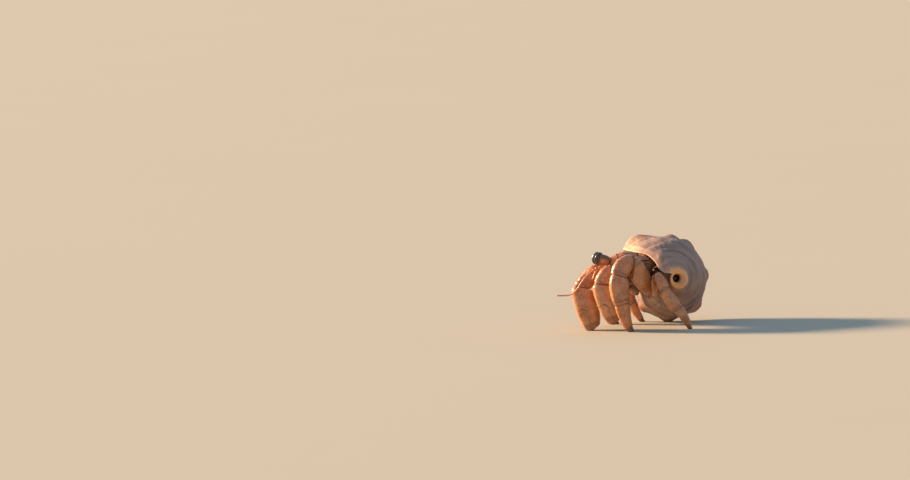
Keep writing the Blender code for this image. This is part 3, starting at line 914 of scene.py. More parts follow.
@dataclass(eq=False)
class Hand(Segment):
    """Half of a claw's hand: the palm with its fixed finger, or the movable finger above the cut."""

    wrist: Vector = field(default_factory=Vector)
    short: float = 0.0
    tip_slope: float = 17.0
    movable: bool = False
    hinge_share: float = 0.47
    hinge_offset: float = 0.16
    tip_offset: float = -0.08
    tooth_height: float = 0.13
    tooth_spacing: float = 1.1
    seam: float = 0.03
    softness: float = 0.12
    knuckle: float = 0.5
    behind_hinge: float = 5.0   # how far off the cut is where the palm stays whole

    @lru_cache(maxsize=1)
    def parting(self) -> tuple[Vector, Vector, Vector]:
        """The hinge, the way that the movable finger lies from it, and the way to the tips.

        Returns:
            The hinge and the two directions.
        """
        outward = (self.end - self.wrist).normalized().cross(self.side).normalized()
        hinge = self.wrist.lerp(self.end, self.hinge_share) + outward * (self.hinge_offset * self.half_height)
        closing = (self.end + outward * (self.tip_offset * self.half_height) - hinge).normalized()
        away = (outward - closing * outward.dot(closing)).normalized()
        return hinge, away, closing

    def cut(self, point: Vector) -> Vector:
        """A point kept on its own side of the parting, whose two edges mesh by blunt teeth.

        Args:
            point: The point.

        Returns:
            Where it is allowed.
        """
        point = super().cut(point)
        hinge, away, closing = self.parting()
        height, reach = (point - hinge).dot(away), (point - hinge).dot(closing)
        reach += self.knuckle * swell((height - 1.5) / 1.7)
        wave = 0.5 - 0.5 * math.cos(math.tau * max(reach - 0.6, 0.0) / self.tooth_spacing)
        bite = (wave - 0.5) * ease((reach - 1.5) / 3) * self.tooth_height
        bite += 0.7 * math.exp(-max(reach, 0.0) / 0.5) + 0.25 * swell((reach - 4.0) / 3.0)
        gap = self.seam
        if self.movable:
            point = point + away * (-soft_limit(gap + bite - height, self.softness) - height + gap + bite)
            return point + closing * (-soft_limit(gap - reach, 0.10) - reach + gap)
        limit = bite - gap + self.behind_hinge * (1 - ease((reach + gap + 0.3) / 0.3))
        point = point + away * (soft_limit(height - limit, self.softness) + limit - height)
        slope = math.radians(self.tip_slope)
        outward = closing * math.cos(slope) - away * math.sin(slope)
        return Stop(self.end - closing * self.short, outward, 0.2).hold(point, closing)

    def build(self) -> BMesh:
        """Builds the half, with its rings closest together at the hinge.

        Returns:
            The mesh.
        """
        first = self.hinge_share - 0.02 if self.movable else 0.0
        near = self.hinge_share + 0.02
        stations = set(crowded_ends(self.count)) | {near + 0.05 * (k - 8) / 8 for k in range(17)}
        chosen = sorted(s for s in stations if s >= first)
        return loft(chosen, self.sides, self.spot)


@dataclass(eq=False)
class Limb:
    """A row of segments through the joints of a limb."""

    name: str
    joints: tuple[Triple, ...]
    sizes: tuple[tuple[float, float], ...]
    side: Triple
    bows: tuple[Triple, ...] = ((0, 0, 0), (0, 0, 0), (0, 0, 0))
    parts: tuple[str, ...] = ("merus", "carpus", "propodus", "dactyl")
    tables: tuple[RingTable, ...] = (MERUS, CARPUS, PROPODUS, DACTYL)
    overrun: float = 0.7
    armour: Armour = field(default_factory=Armour)

    def segments(self) -> list[Segment]:
        """The segments, each with the planes that part it from its neighbours.

        Returns:
            The segments, from the body out.
        """
        points = [Vector(joint) for joint in self.joints]
        ways = [(after - before).normalized() for before, after in zip(points, points[1:])]
        folds = [(before + after).normalized() for before, after in zip(ways, ways[1:])]
        last = len(self.parts) - 1
        made = []
        for i, part in enumerate(self.parts):
            stops = []
            if i > 0:
                stops.append(Stop(points[i] + folds[i - 1] * (JOINT_GAP / 2), -folds[i - 1]))
            if i < last:
                stops.append(Stop(points[i + 1] - folds[i] * (JOINT_GAP / 2), folds[i]))
            sizes = {
                "name": f"{self.name}_{part}",
                "start": points[i] - ways[i] * (self.overrun if i > 0 else 0),
                "end": points[i + 1] + ways[i] * (self.overrun if i < last else 0),
                "half_width": self.sizes[i][0],
                "half_height": self.sizes[i][1],
                "rings": self.tables[i],
                "side": Vector(self.side),
                "bow": Vector(self.bows[i]),
                "stops": tuple(stops),
                "armour": self.armour,
            }
            made.append(self.make_segment(part, sizes, points[i]))
        return made

    def make_segment(self, part: str, sizes: dict, joint: Vector) -> Segment:
        """Makes one segment from its sizes.

        Args:
            part: The segment's kind.
            sizes: Its fields.
            joint: The joint that it starts from. Not used here.

        Returns:
            The segment.
        """
        if part == "merus":
            return Segment(**sizes, round_start=0.10)
        if part == "dactyl":
            return Segment(**sizes, horn_from=0.68, round_end=0.06, on_floor=True, count=84)
        return Segment(**sizes)

    def build(self, shop: Workshop) -> list[BMesh]:
        """Builds the limb's plates, and returns the membranes between them.

        Args:
            shop: The workshop.

        Returns:
            The membranes.
        """
        segments = self.segments()
        for segment in segments:
            shop.piece(f"{segment.name}_plate", segment.build(), Slot.PLATE, [segment.name])
        return [part.cushion(part.stops[-1], 1 - self.overrun / part.length()) for part in segments[:-1]]


@dataclass(eq=False)
class Claw(Limb):
    """A claw: a limb that ends in a hand of a palm and a movable finger."""

    parts: tuple[str, ...] = ("merus", "carpus", "palm")
    tables: tuple[RingTable, ...] = (MERUS, CARPUS, HAND)
    short: float = 0.3

    def make_segment(self, part: str, sizes: dict, joint: Vector) -> Segment:
        """Makes one segment from its sizes.

        Args:
            part: The segment's kind.
            sizes: Its fields.
            joint: The joint that it starts from.

        Returns:
            The segment.
        """
        if part == "palm":
            shape = {"horn_from": 0.82, "round_end": 0.10, "on_floor": True, "count": 96, "sides": 84}
            return Hand(**sizes, **shape, wrist=joint, short=self.short)
        return super().make_segment(part, sizes, joint)

    def build(self, shop: Workshop) -> list[BMesh]:
        """Builds the limb's plates and the movable finger, and returns the membranes between them.

        Args:
            shop: The workshop.

        Returns:
            The membranes.
        """
        cushions = super().build(shop)
        palm = self.segments()[-1]
        palm.movable = True
        finger = f"{self.name}_finger"
        shop.piece(f"{finger}_plate", palm.build(), Slot.PLATE, [finger])
        return cushions


FAR_SIDE = Armour(rows=((-90.0, 0.85, 0.12), (-62.0, 0.95, 0.07), (-118.0, 1.0, 0.07)), smooth_side=90.0)
STOUT = ((1.7, 3.3), (1.9, 3.2), (2.0, 3.5), (1.7, 2.9))
SLIM = ((1.5, 2.3), (1.6, 2.1), (1.7, 2.4), (1.4, 2.1))
LEGS = (
    Limb(
        "leg2_left",
        ((0.8, -8.4, 12.6), (-5.8, -12.8, 24.8), (-10.4, -15.6, 20.0), (-9.8, -16.4, 10.2),
         (-6.8, -15.6, -0.8)),
        STOUT,
        (0.3, -0.95, 0),
        ((-0.4, -1.2, 0.4), (-0.9, -0.2, 0.9), (-0.7, -0.2, 0), (-0.8, -0.2, 0)),
    ),
    Limb(
        "leg3_left",
        ((2.4, -8.8, 11.6), (3.2, -15.6, 19.4), (5.4, -17.8, 14.6), (9.6, -18.2, 7.6), (14.0, -17.2, -0.7)),
        SLIM,
        (0.6, -0.8, 0.1),
        ((0, -0.8, 0.8), (0.2, -0.3, 0.2), (-0.2, -0.3, -0.2), (0.3, -0.2, 0.6)),
    ),
    Limb(
        "leg2_right",
        ((-7.6, 1.2, 13.8), (-12.0, 5.0, 22.0), (-15.4, 7.6, 17.4), (-14.4, 9.0, 8.8), (-11.2, 8.6, -0.8)),
        STOUT,
        (0.3, 0.95, 0),
        ((-0.4, 1, 0.4), (-0.9, 0.2, 0.8), (-0.7, 0.2, 0), (-0.8, 0.2, 0)),
        armour=FAR_SIDE,
    ),
    Limb(
        "leg3_right",
        ((-4.0, 2.2, 11.2), (-6.6, 9.0, 17.6), (-7.0, 11.4, 13.4), (-5.4, 12.0, 7.0), (-1.4, 11.4, -0.7)),
        SLIM,
        (0.5, 0.85, 0),
        ((-0.4, 0.8, 0.6), (-0.5, 0.3, 0.4), (-0.6, 0.3, 0), (-0.5, 0.2, 0)),
        armour=FAR_SIDE,
    ),
)
CLAWS = (
    Claw(
        "claw_left",
        ((-8.6, -9.8, 15.2), (-13.6, -11.2, 22.2), (-16.8, -11.6, 17.2), (-12.6, -11.6, 2.4)),
        ((1.7, 2.3), (2.1, 3.0), (2.5, 3.9)),
        (0, -1, 0),
    ),
    Claw(
        "claw_right",
        ((-11.6, -1.8, 15.2), (-17.8, -2.4, 21.8), (-24.2, -4.6, 15.6), (-20.2, -5.6, -0.9)),
        ((1.7, 2.3), (2.1, 2.9), (2.5, 4.0)),
        (0.05, -1, 0),
        short=1.05,
    ),
)


# ---------------------------------------------------------------- shell


@dataclass(eq=False)
class Shell:
    """A right-handed sea-snail shell: a knobbed spire, a last turn with its lip, and a siphon ring.

    A place on it is its angle back from the lip, and how far down a section it lies: from 0 at the upper
    suture to 5 at the lower one, and on to 11 at the ring.
    """

    tip_end: Triple = (10.6, -17.0, 18.0)
    axis: Triple = (0.145, -0.973, 0.172)
    length: float = 37.0
    lip_angle: float = 138.0
    growth: float = 1.95
    turns: float = 3.15
    # control points of the last turn: distance from the axis, height on it
    suture: tuple[float, float] = (9.3, 9.8)
    ramp: tuple[tuple[float, float], ...] = ((12.8, 10.2), (16.4, 11.3))
    shoulder: tuple[float, float] = (18.7, 13.4)
    flank: tuple[float, float] = (18.7, 16.2)
    knob_height: float = 2.2
    # knobs of the last turn: degrees back from the lip, share of the full height, reach in degrees
    knobs: tuple[Triple, ...] = (
        (16.0, 1.32, 25.0), (59.0, 0.72, 15.0), (80.0, 1.02, 18.0), (127.0, 0.92, 18.0),
        (176.0, 1.0, 23.0), (226.0, 0.85, 19.0), (276.0, 0.95, 20.0), (325.0, 0.95, 20.0),
    )
    old_knobs: Triple = (374.0, 0.95, 20.0)   # the first one of the older turns, which are all alike
    old_knob_spacing: float = 50.0
    ring_radius: float = 3.1
    hole_shift: tuple[float, float] = (-1.1, 1.0)
    fullness: tuple[float, float] = (1.6, 4.0)   # of the base, at the lip and a whole turn back
    # bends of the lip: degrees drawn back, share down the section, reach
    lip_bends: tuple[Triple, ...] = ((5.5, 0.69, 0.15), (-12.0, 0.88, 0.12))
    lip_flare: float = 0.8
    # the lip's roll: share of the wall's thickness, degrees forward
    lip_roll: tuple[tuple[float, float], ...] = (
        (0.0, 0.0), (0.03, 0.9), (0.12, 1.5), (0.28, 1.75), (0.48, 1.6), (0.68, 1.0), (0.84, 0.2),
        (0.95, -1.2),
    )
    # the ring's roll: share of its radius, depth below its rim
    ring_roll: tuple[tuple[float, float], ...] = (
        (1.0, 0.0), (0.93, -0.16), (0.82, -0.32), (0.66, -0.30), (0.50, 0.35), (0.38, 2.2), (0.33, 4.0),
    )
    wall_share: float = 0.87
    hollow_turn: float = 64.0
    worn_turns: float = 0.45
    spans: int = 5
    base_steps: int = 6
    rows_per_turn: int = 336
    columns_per_span: int = 7
    base_columns: int = 50
    ring_rows: int = 31
    hollow_rows: int = 16
    slope_step: float = 0.05
    cord_height: float = 0.085
    growth_height: float = 0.08
    fold_height: float = 0.35
    dent_height: float = 0.24
    pit_depth: float = 0.13
    crust_from: float = 0.28

    @lru_cache(maxsize=1)
    def frame(self) -> Matrix:
        """The shell's own axes: X and Y across the axis, Z from the apex to the ring."""
        axis = Vector(self.axis).normalized()
        across = (Vector((1, 0, 0)) - axis * axis.x).normalized()
        turned = Matrix((across, axis.cross(across), axis)).transposed()
        return Matrix.Translation(Vector(self.tip_end) - axis * self.length) @ turned.to_4x4()

    def point(self, angle: float, r: float, h: float) -> Vector:
        """A point, from its angle in degrees round the axis, its distance from it and its height on it."""
        turn = math.radians(angle)
        return self.frame() @ Vector((r * math.cos(turn), r * math.sin(turn), h))

    def knob(self, back: float) -> float:
        """How far a shoulder knob stands out here, from 0 to about 1.

        Args:
            back: Degrees back from the lip.

        Returns:
            The share of a full knob.
        """
        first, height, reach = self.old_knobs
        off = (back - first) % self.old_knob_spacing
        older = height * swell(min(off, self.old_knob_spacing - off) / reach) if back > first - reach else 0.0
        return max([older] + [high * swell((back - middle) / wide) for middle, high, wide in self.knobs])

    def worn(self, back: float) -> float:
        """How far a section near the apex is worn down to a plain cone."""
        return ease((back / 360 - self.turns) / self.worn_turns + 1)

    def last(self) -> float:
        """How far down a section ends, at the ring."""
        return float(self.spans + self.base_steps)

    @staticmethod
    def traits(**given: float) -> dict[str, float]:
        """What the material reads at a point, with 0 for all that isn't given."""
        # deep is the share of painted shade, inside the mouth and down the siphon hole
        names = ("down", "turn", "knob", "lip", "inside", "ring", "cord", "deep")
        return dict.fromkeys(names, 0.0) | given

    @lru_cache(maxsize=4)
    def section(self, back: float) -> list[Triple]:
        """The control points of a section: number, distance from the axis and height on it.

        Args:
            back: Degrees back from the lip.

        Returns:
            One row for each control point.
        """
        size = self.growth ** (-back / 360)
        knob = self.knob_height * self.knob(back)
        points = [
            self.suture,
            self.ramp[0],
            (self.ramp[1][0] + 0.35 * knob, self.ramp[1][1] - 0.4 * knob),
            (self.shoulder[0] + knob, self.shoulder[1] - 0.35 * knob),
            (self.flank[0] + 0.35 * knob, self.flank[1]),
            (self.suture[0] * self.growth, self.suture[1] * self.growth),
        ]
        points = [(r * size, h * size) for r, h in points]
        start_r, start_h = points[-1]
        flat = self.worn(back)
        if flat > 0:
            first, final = Vector(points[0]), Vector(points[-1])
            chord = [first.lerp(final, k / (len(points) - 1)) for k in range(len(points))]
            points = [tuple(Vector(point).lerp(level, flat)) for point, level in zip(points, chord)]
        full = self.fullness[0] + (self.fullness[1] - self.fullness[0]) * ease(back / 360)
        for step in range(1, self.base_steps + 1):
            turn = math.pi / 2 * step / self.base_steps
            r = self.ring_radius + (start_r - self.ring_radius) * max(math.cos(turn), 0.0) ** full
            points.append((r, start_h + (self.length - start_h) * math.sin(turn) ** 1.1))
        above, suture, below = (Vector(points[self.spans + k]) for k in (-1, 0, 1))
        points[self.spans + 1] = tuple(below.lerp(2 * suture - above, ease((back - 360) / 30)))
        return [(float(i), *point) for i, point in enumerate(points)]

    def cords(self, down: float) -> float:
        """The spiral cords, from 0 between them to 1 on one. They are uneven, as on a worn shell."""
        uneven = down * 1.55 + 0.35 * noise.noise(Vector((down * 0.9, 4.0, 0.0)))
        strong = 0.55 + 0.45 * noise.noise(Vector((down * 0.7, 11.0, 0.0)))
        return strong * (0.5 + 0.5 * math.cos(2 * math.pi * uneven)) ** 1.3

    def spot(self, back: float, down: float) -> Spot:
        """A point of the outer surface, and what the material reads there.

        Args:
            back: Degrees back from the lip.
            down: How far down the section.

        Returns:
            The point and its traits.
        """
        section, last, knob = self.section(back), self.last(), self.knob(back)
        r, h = read_table(section, down)
        low_r, low_h = read_table(section, max(down - self.slope_step, 0.0))
        high_r, high_h = read_table(section, min(down + self.slope_step, last))
        dr, dh = high_r - low_r, high_h - low_h
        slope = math.hypot(dr, dh) or 1.0
        fade = ease(down / 0.5) * ease((last - down) / 0.8)
        if down <= self.spans:
            older = ease((back - 340) / 20)
            fade *= 1 - older * (1 - ease((self.spans - down) / 0.5))
        fade *= 0.35 + 0.65 * ease(back / 9)
        raised = self.relief(self.bend(back, down, r, h), back, down) * self.growth ** (-back / 360) * fade
        place = self.bend(back, down, r + raised * dh / slope, h - raised * dr / slope)
        crest = swell((down - 3.0) / (1.3 + 0.5 * knob)) * (0.45 + 0.55 * min(knob, 1.0))
        lip_width = 37 - 23 * ease((down - 3.4) / 2.6)
        return stood(place, 0.05), self.traits(
            down=down / last, turn=back / 360, knob=crest * (1 - self.worn(back)),
            lip=ease(1 - back / lip_width), ring=ease((down - 9.0) / 2.0), cord=self.cords(down) * fade,
        )

    def bend(self, back: float, down: float, r: float, h: float) -> Vector:
        """Places a point of a section, whose middle draws back and whose edge flares near the lip.

        Args:
            back: Degrees back from the lip.
            down: How far down the section.
            r: Distance from the axis.
            h: Height on the axis.

        Returns:
            The place.
        """
        share = down / self.last()
        near = ease(1 - back / 40)
        drawn = near * sum(bend * swell((share - middle) / reach) for bend, middle, reach in self.lip_bends)
        flare = self.lip_flare * ease(1 - back / 14) * math.sin(math.pi * min(share * 1.6, 1.0)) ** 0.5
        return self.point(self.lip_angle - back - drawn, r + flare, h)

    def relief(self, plain: Vector, back: float, down: float) -> float:
        """Height of the cords, growth lines, dents and pits, in the size of the last turn.

        Args:
            plain: The place before it is raised.
            back: Degrees back from the lip.
            down: How far down the section.

        Returns:
            The height.
        """
        height = self.cords(down) * self.cord_height * (0.7 + 0.5 * self.knob(back))
        height += self.fold_height * self.knob(back) * swell((down - 5.6) / 3.0)
        lines = noise.noise(Vector((back * 0.55, down * 0.35, 1.7)))
        lines += 0.5 * noise.noise(Vector((back * 1.7, down, 9.1)))
        height += lines * self.growth_height + (lump(plain, 3.4, self.dent_height) + lump(plain, 1.2, 0.07))
        height -= self.pit_depth * bead(plain, 1.9, 0.22)
        crust = ease((noise.noise(plain / 4.5 + Vector((7, 3, 5))) - self.crust_from) / 0.08)
        return height + crust * (0.10 + 0.12 * bead(plain, 0.7, 1.0))

    def lip_edge(self) -> list[tuple[float, float]]:
        """The places round the mouth, out along the lip and back down the turn beneath it."""
        outer = [(0.0, down) for down in self.downs()]
        inner = [(360.0, down) for down in self.downs() if self.spans < down < self.last()]
        return outer + inner[::-1] + outer[:1]

    def downs(self) -> list[float]:
        """How far down the points of a section lie."""
        upper = [k / self.columns_per_span for k in range(self.spans * self.columns_per_span)]
        lower = [self.spans + self.base_steps * k / self.base_columns for k in range(self.base_columns + 1)]
        return upper + lower

    def mouth(self) -> BMesh:
        """The worn edge of the lip, rolled inwards, and the smooth hollow that it leads to, with painted
        shade inside.

        Returns:
            The open mesh, which meets the sheets round the mouth.
        """
        places, to_shell = self.lip_edge(), self.frame().inverted()
        edge = [to_shell @ self.spot(back, down)[0] for back, down in places]
        on_lip = [
            ease((down - 0.2) / 1.5) * (1 - ease((down - 9.6) / 1.2)) if back == 0.0 else 0.0
            for back, down in places
        ]
        middle = sum(edge[:-1], Vector()) / (len(edge) - 1)
        steps = (k / (self.hollow_rows - 1) for k in range(self.hollow_rows))
        rows = [*self.lip_roll, *((1.0, -4.0 - (self.hollow_turn - 4.0) * step) for step in steps)]

        def spot(column: int, row: int) -> Spot:
            """A point of the rolled lip or of the hollow."""
            (share, forward), (back, down), local = rows[row], places[column], edge[column]
            place = local.lerp(middle + (local - middle) * self.wall_share, share)
            backward = max(0.0, -forward)
            forward *= on_lip[column] if forward > 0 else 1.0
            size = self.growth ** (-backward / 360) * (1 - 0.12 * backward / self.hollow_turn)
            place = Matrix.Rotation(math.radians(forward), 4, "Z") @ (place * size)
            place.z += lump(place, 1.3, 0.16) * min(1.0, share * 4) * swell((share - 0.4) / 0.6)
            outer = 1.0 if back == 0.0 else 0.3
            return self.frame() @ place, self.traits(
                down=down / self.last(), turn=back / 360, lip=outer * (1.0 - 0.5 * ease(backward / 8)),
                inside=outer * ease((share - 0.35) / 0.6),
                # painted shade: darker the deeper into the hollow, and over the turn beneath the lip
                deep=max(0.75 * ease(backward / 24), 0.8 * (1.0 - outer)),
            )

        return sheet(len(edge), len(rows), spot)

    def ring(self) -> BMesh:
        """The siphon ring, rolled over into its hole, with a painted highlight on its rim and painted shade
        down the hole.

        Returns:
            The open mesh, which meets the base.
        """
        onward = self.point(0, 0, 1) - self.point(0, 0, 0)
        shift = Vector((self.hole_shift[0], 0, self.hole_shift[1]))

        def spot(column: int, row: int) -> Spot:
            """A point of the ring."""
            back, at = 360 * column / self.rows_per_turn, row / (self.ring_rows - 1)
            share, depth = read_rows(self.ring_roll, at)
            angle = self.lip_angle - back
            low_side = 0.5 - 0.5 * math.cos(math.radians(angle - self.lip_angle))
            place = self.point(angle, self.ring_radius * share, self.length - depth) + shift * (1 - share)
            place += onward * (lump(place, 1.3, 0.30) * swell((at - 0.4) / 0.4))
            place += onward * (0.35 * low_side * swell((at - 0.35) / 0.35))
            # painted highlight: the worn pale rim colour, with less amber, kept to the rim's low side as a
            # lit crescent; the pale rim is partly wear
            rim = swell((at - 0.45) / 0.32) * low_side
            return place, self.traits(
                down=1.0, turn=back / 360, lip=0.75 * rim, ring=1.0 - 0.6 * rim,
                # painted shade: darker down the hole, starting a little deeper on the lit low side
                inside=ease((at - 0.55) / 0.3), deep=ease((at - 0.56 - 0.12 * low_side) / 0.25),
            )

        return sheet(self.rows_per_turn + 1, self.ring_rows, spot)

    def build(self, shop: Workshop) -> None:
        """Builds the shell as one closed piece.

        Args:
            shop: The workshop.
        """
        downs, suture, step = self.downs(), self.spans * self.columns_per_span, 360 / self.rows_per_turn
        sheets = []
        for columns, turns in ((downs[: suture + 1], self.turns), (downs[suture:], 1)):
            rows = round(turns * self.rows_per_turn) + 1
            bm = sheet(len(columns), rows, lambda column, row: self.spot(row * step, columns[column]))
            sheets.append(bm)
        bm = join_meshes([*sheets, self.mouth(), self.ring()])
        bmesh.ops.remove_doubles(bm, verts=bm.verts, dist=1e-4)
        open_edges = [edge for edge in bm.edges if edge.is_boundary]
        caps = bmesh.ops.holes_fill(bm, edges=open_edges, sides=0)["faces"]
        poked = bmesh.ops.poke(bm, faces=caps)["verts"]
        apex = self.point(0, 0, 0)
        min(poked, key=lambda vert: (vert.co - apex).length).co = apex
        shop.piece("sea_snail_shell", bm, Slot.SHELL, ["shell"])


# ---------------------------------------------------------------- body and head


@dataclass(eq=False)
class Front:
    """The soft trunk, and the hard shield and head plates over its front. Sizes in millimetres."""

    shell: Shell
    # each station: its middle, half width and half height. The first two are in the shell's own terms
    in_shell: tuple[Triple, float, float] = ((-38.0, 11.0, 20.5), 2.8, 2.6)
    at_mouth: tuple[Triple, float, float] = ((0.0, 12.2, 23.0), 5.8, 4.0)
    stations: tuple[tuple[Triple, float, float], ...] = (
        ((-3.0, -3.8, 21.4), 5.2, 6.0), ((-7.6, -4.4, 21.9), 5.0, 6.5),
        ((-11.4, -5.2, 22.3), 4.3, 5.3), ((-14.4, -5.8, 22.6), 2.8, 3.4),
    )
    parting_height: float = 24.3
    head_parting: float = -11.6
    shield_rear: float = 0.6

    @lru_cache(maxsize=1)
    def rings(self) -> list[tuple[float, ...]]:
        """The middle, half width and half height of each station.

        Returns:
            One row for each station.
        """
        inner = [
            (self.shell.point(self.shell.lip_angle + back, r, h), wide, tall)
            for (back, r, h), wide, tall in (self.in_shell, self.at_mouth)
        ]
        return [(*Vector(centre), wide, tall) for centre, wide, tall in (*inner, *self.stations)]

    @lru_cache(maxsize=512)
    def ring(self, share: float) -> tuple[Vector, tuple[Vector, Vector], tuple[float, float]]:
        """Middle, side and upright directions, and half width and height at a share of the length.

        Args:
            share: Share of the length.

        Returns:
            The middle, the two directions and the two sizes.
        """
        *centre, wide, tall = read_rows(self.rings(), share)
        along = heading([row[:3] for row in self.rings()], share, 0.03)
        upright = along.cross(ASIDE).normalized()
        past = (share - 0.93) / 0.07
        dome = max(0.02, arch(past) * 0.55 + 0.45 * (1 - share) / 0.07) if past > 0 else 1.0
        side = upright.cross(along).normalized()
        return Vector(centre), (side, upright), (wide * SHRINK * dome, tall * SHRINK * dome)

    def surface(self, share: float, angle: float, grow: float = 0.0) -> Vector:
        """A point of the whole front's surface."""
        centre, ways, halves = self.ring(share)
        return centre + oval(ways, halves, angle, 0.05, grow)

    def head_stop(self, side: int) -> Stop:
        """The plane that parts the head, on side -1, from the shield and the trunk, on side 1."""
        ahead = Vector((-1, -0.12, 0.1)).normalized()
        return Stop(Vector((self.head_parting + side * JOINT_GAP / 2, -5, 22)), ahead * side, 0.12)

    def shield_stop(self, side: int, softness: float) -> Stop:
        """The plane that parts the trunk, on side -1, from the shield, on side 1."""
        level = Vector((0, 0.05, 1)).normalized()
        return Stop(Vector((0, -4, self.parting_height + side * JOINT_GAP / 2)), level * -side, softness)

    def shield(self, shop: Workshop) -> None:
        """The shield over the front of the trunk, with its grooves and granules.

        Args:
            shop: The workshop.
        """
        rear = Stop(Vector((self.shield_rear, -4, 25)), Vector((1, 0, 0.35)).normalized(), 0.12)
        stops = ((self.head_stop(1), AHEAD), (rear, -AHEAD), (self.shield_stop(1, 0.22), -UP))

        def spot(share: float, angle: float) -> Spot:
            """A point of the shield."""
            height, granule, edge = self.shield_relief(self.surface(share, angle))
            point = self.surface(share, angle, height)
            for stop, way in stops:
                point = stop.hold(point, way)
            return point, {"grain": granule, "edge": edge, "tip": 0.0}

        shares = [0.22 + 0.66 * t for t in crowded_ends(96, 0.3)]
        shop.piece("front_shield", loft(shares, 96, spot), Slot.PLATE, ["shield"])

    def shield_relief(self, plain: Vector) -> tuple[float, float, float]:
        """Height, granule and groove of the shield at a place.

        Args:
            plain: The place before it is raised.

        Returns:
            The three numbers.
        """
        aside = plain.y - (-4.0 + 0.1 * plain.x)
        groove = swell((plain.x + 4.2 - 0.16 * aside * aside) / 0.8)
        groove = max(groove, 0.6 * swell(aside / 0.45) * ease((plain.x + 4.0) / 2))
        groove = max(groove, 0.7 * swell((abs(aside) - 3.0 - 0.12 * plain.x) / 0.6))
        granule = bead(plain, 0.7, 0.5) * (0.3 + 0.7 * ease((-4.5 - plain.x) / 3))
        height = 0.10 * granule - 0.26 * groove + lump(plain, 2.2, 0.16) + lump(plain, 0.9, 0.08)
        rim = swell((plain.z - self.parting_height - 0.4) / 0.5)
        return height + 0.15 * rim, clamp(granule * 0.7), clamp(groove)

    def head(self, shop: Workshop) -> None:
        """The head plate between the eyes and the mouth.

        Args:
            shop: The workshop.
        """
        stop = self.head_stop(-1)

        def spot(share: float, angle: float) -> Spot:
            """A point of the head plate."""
            plain = self.surface(share, angle)
            granule = bead(plain, 0.6, 0.5) * 0.6
            ridge, groove = swell((plain.y + 5.75) / 0.5), swell((plain.z - 23.2) / 0.5)
            height = 0.07 * granule + lump(plain, 1.4, 0.12) + 0.14 * ridge - 0.12 * groove
            point = stop.hold(self.surface(share, angle, height), -AHEAD)
            return point, {"grain": granule, "edge": 0.7 * swell((plain.z - 23.2) / 0.6), "tip": 0.0}

        shares = [0.78 + 0.22 * t for t in crowded_ends(60, 0.5)]
        shop.piece("head_plate", loft(shares, 84, spot), Slot.PLATE, ["head"])

    def trunk(self, hips: Iterable[tuple[Vector, float]]) -> BMesh:
        """The soft trunk with a stub to each hip, before it is grown into one skin.

        Args:
            hips: Where each limb begins, and how thick its stub is.

        Returns:
            Overlapping closed meshes.
        """
        before, above = self.head_stop(1), self.shield_stop(-1, 0.2)

        def spot(share: float, angle: float) -> Spot:
            """A point of the trunk."""
            point = before.hold(self.surface(share, angle), AHEAD)
            return above.hold(point, UP) if point.x < self.shield_rear + 0.3 else point, {}

        body = loft([0.88 * t for t in crowded_ends(72, 0.2)], 72, spot)
        return join_meshes([body, *(self.stub(hip, thick) for hip, thick in hips)])

    def stub(self, hip: Vector, thick: float) -> BMesh:
        """A tapering stub of soft skin, out of the trunk to where a limb begins.

        Args:
            hip: Where the limb begins.
            thick: The stub's radius.

        Returns:
            The closed mesh.
        """
        root = Vector((clamp(hip.x, -9.5, 0.0), clamp(hip.y, -6.4, -2.0), 17.6))
        line = [root, root.lerp(hip, 0.55) + Vector((0, 0, -0.6)), hip]
        along = (hip - root).normalized()
        side = along.orthogonal().normalized()

        def spot(share: float, angle: float) -> Spot:
            """A point of the stub."""
            waves = 1.0 + 0.12 * math.cos(2 * math.tau * share)
            radius = thick * waves * (1 - 0.5 * ease((share - 0.5) / 0.5))
            return smooth_line(line, share) + oval((side, along.cross(side)), (radius, radius), angle), {}

        return loft(crowded_ends(16, 0.0), 28, spot)


SMOOTH = Armour(granule_height=0.02, dent_height=0.05, rows=(), rim_height=0.05)
GLASSY = Armour(granule_height=0.0, dent_height=0.02, rows=(), rim_height=0.0)
FINE = Armour(granule_size=0.45, granule_height=0.05, dent_height=0.08, rim_height=0.08)

STALK: RingTable = ((0.0, 0.8, 0.85), (0.4, 1.0, 1.0), (1.0, 0.92, 0.95))
EYEBALL: RingTable = ((0.0, 0.95, 0.98), (0.4, 1.04, 1.02), (0.85, 0.98, 0.92), (1.0, 0.9, 0.85))
MOUTHPART: RingTable = (
    (0, 0.8, 0.8), (0.28, 1.15, 1.15), (0.38, 0.86, 0.86), (0.5, 1.12, 1.12), (0.64, 0.95, 0.95),
    (0.72, 0.7, 0.7), (0.82, 0.82, 0.82), (1, 0.5, 0.5),
)
ANTENNA_BASE: RingTable = (
    (0, 0.9, 0.9), (0.25, 1.15, 1.15), (0.42, 0.92, 0.92), (0.58, 1.08, 1.08), (0.74, 0.78, 0.78),
    (0.88, 0.86, 0.86), (1, 0.68, 0.68),
)


@dataclass(eq=False)
class Eyestalk(Segment):
    """The flattened stalk of an eye, dark along its upper edge."""

    def horn(self, share: float, angle: float) -> float:
        """The dark upper half."""
        return 0.88 * ease((0.2 - math.sin(angle)) / 0.7) * ease(share / 0.25)


@dataclass(eq=False)
class Cornea(Segment):
    """The eye itself, browner where it meets its stalk."""

    def horn(self, share: float, angle: float) -> float:
        """The brown rim."""
        return 1 - ease(share / 0.35)


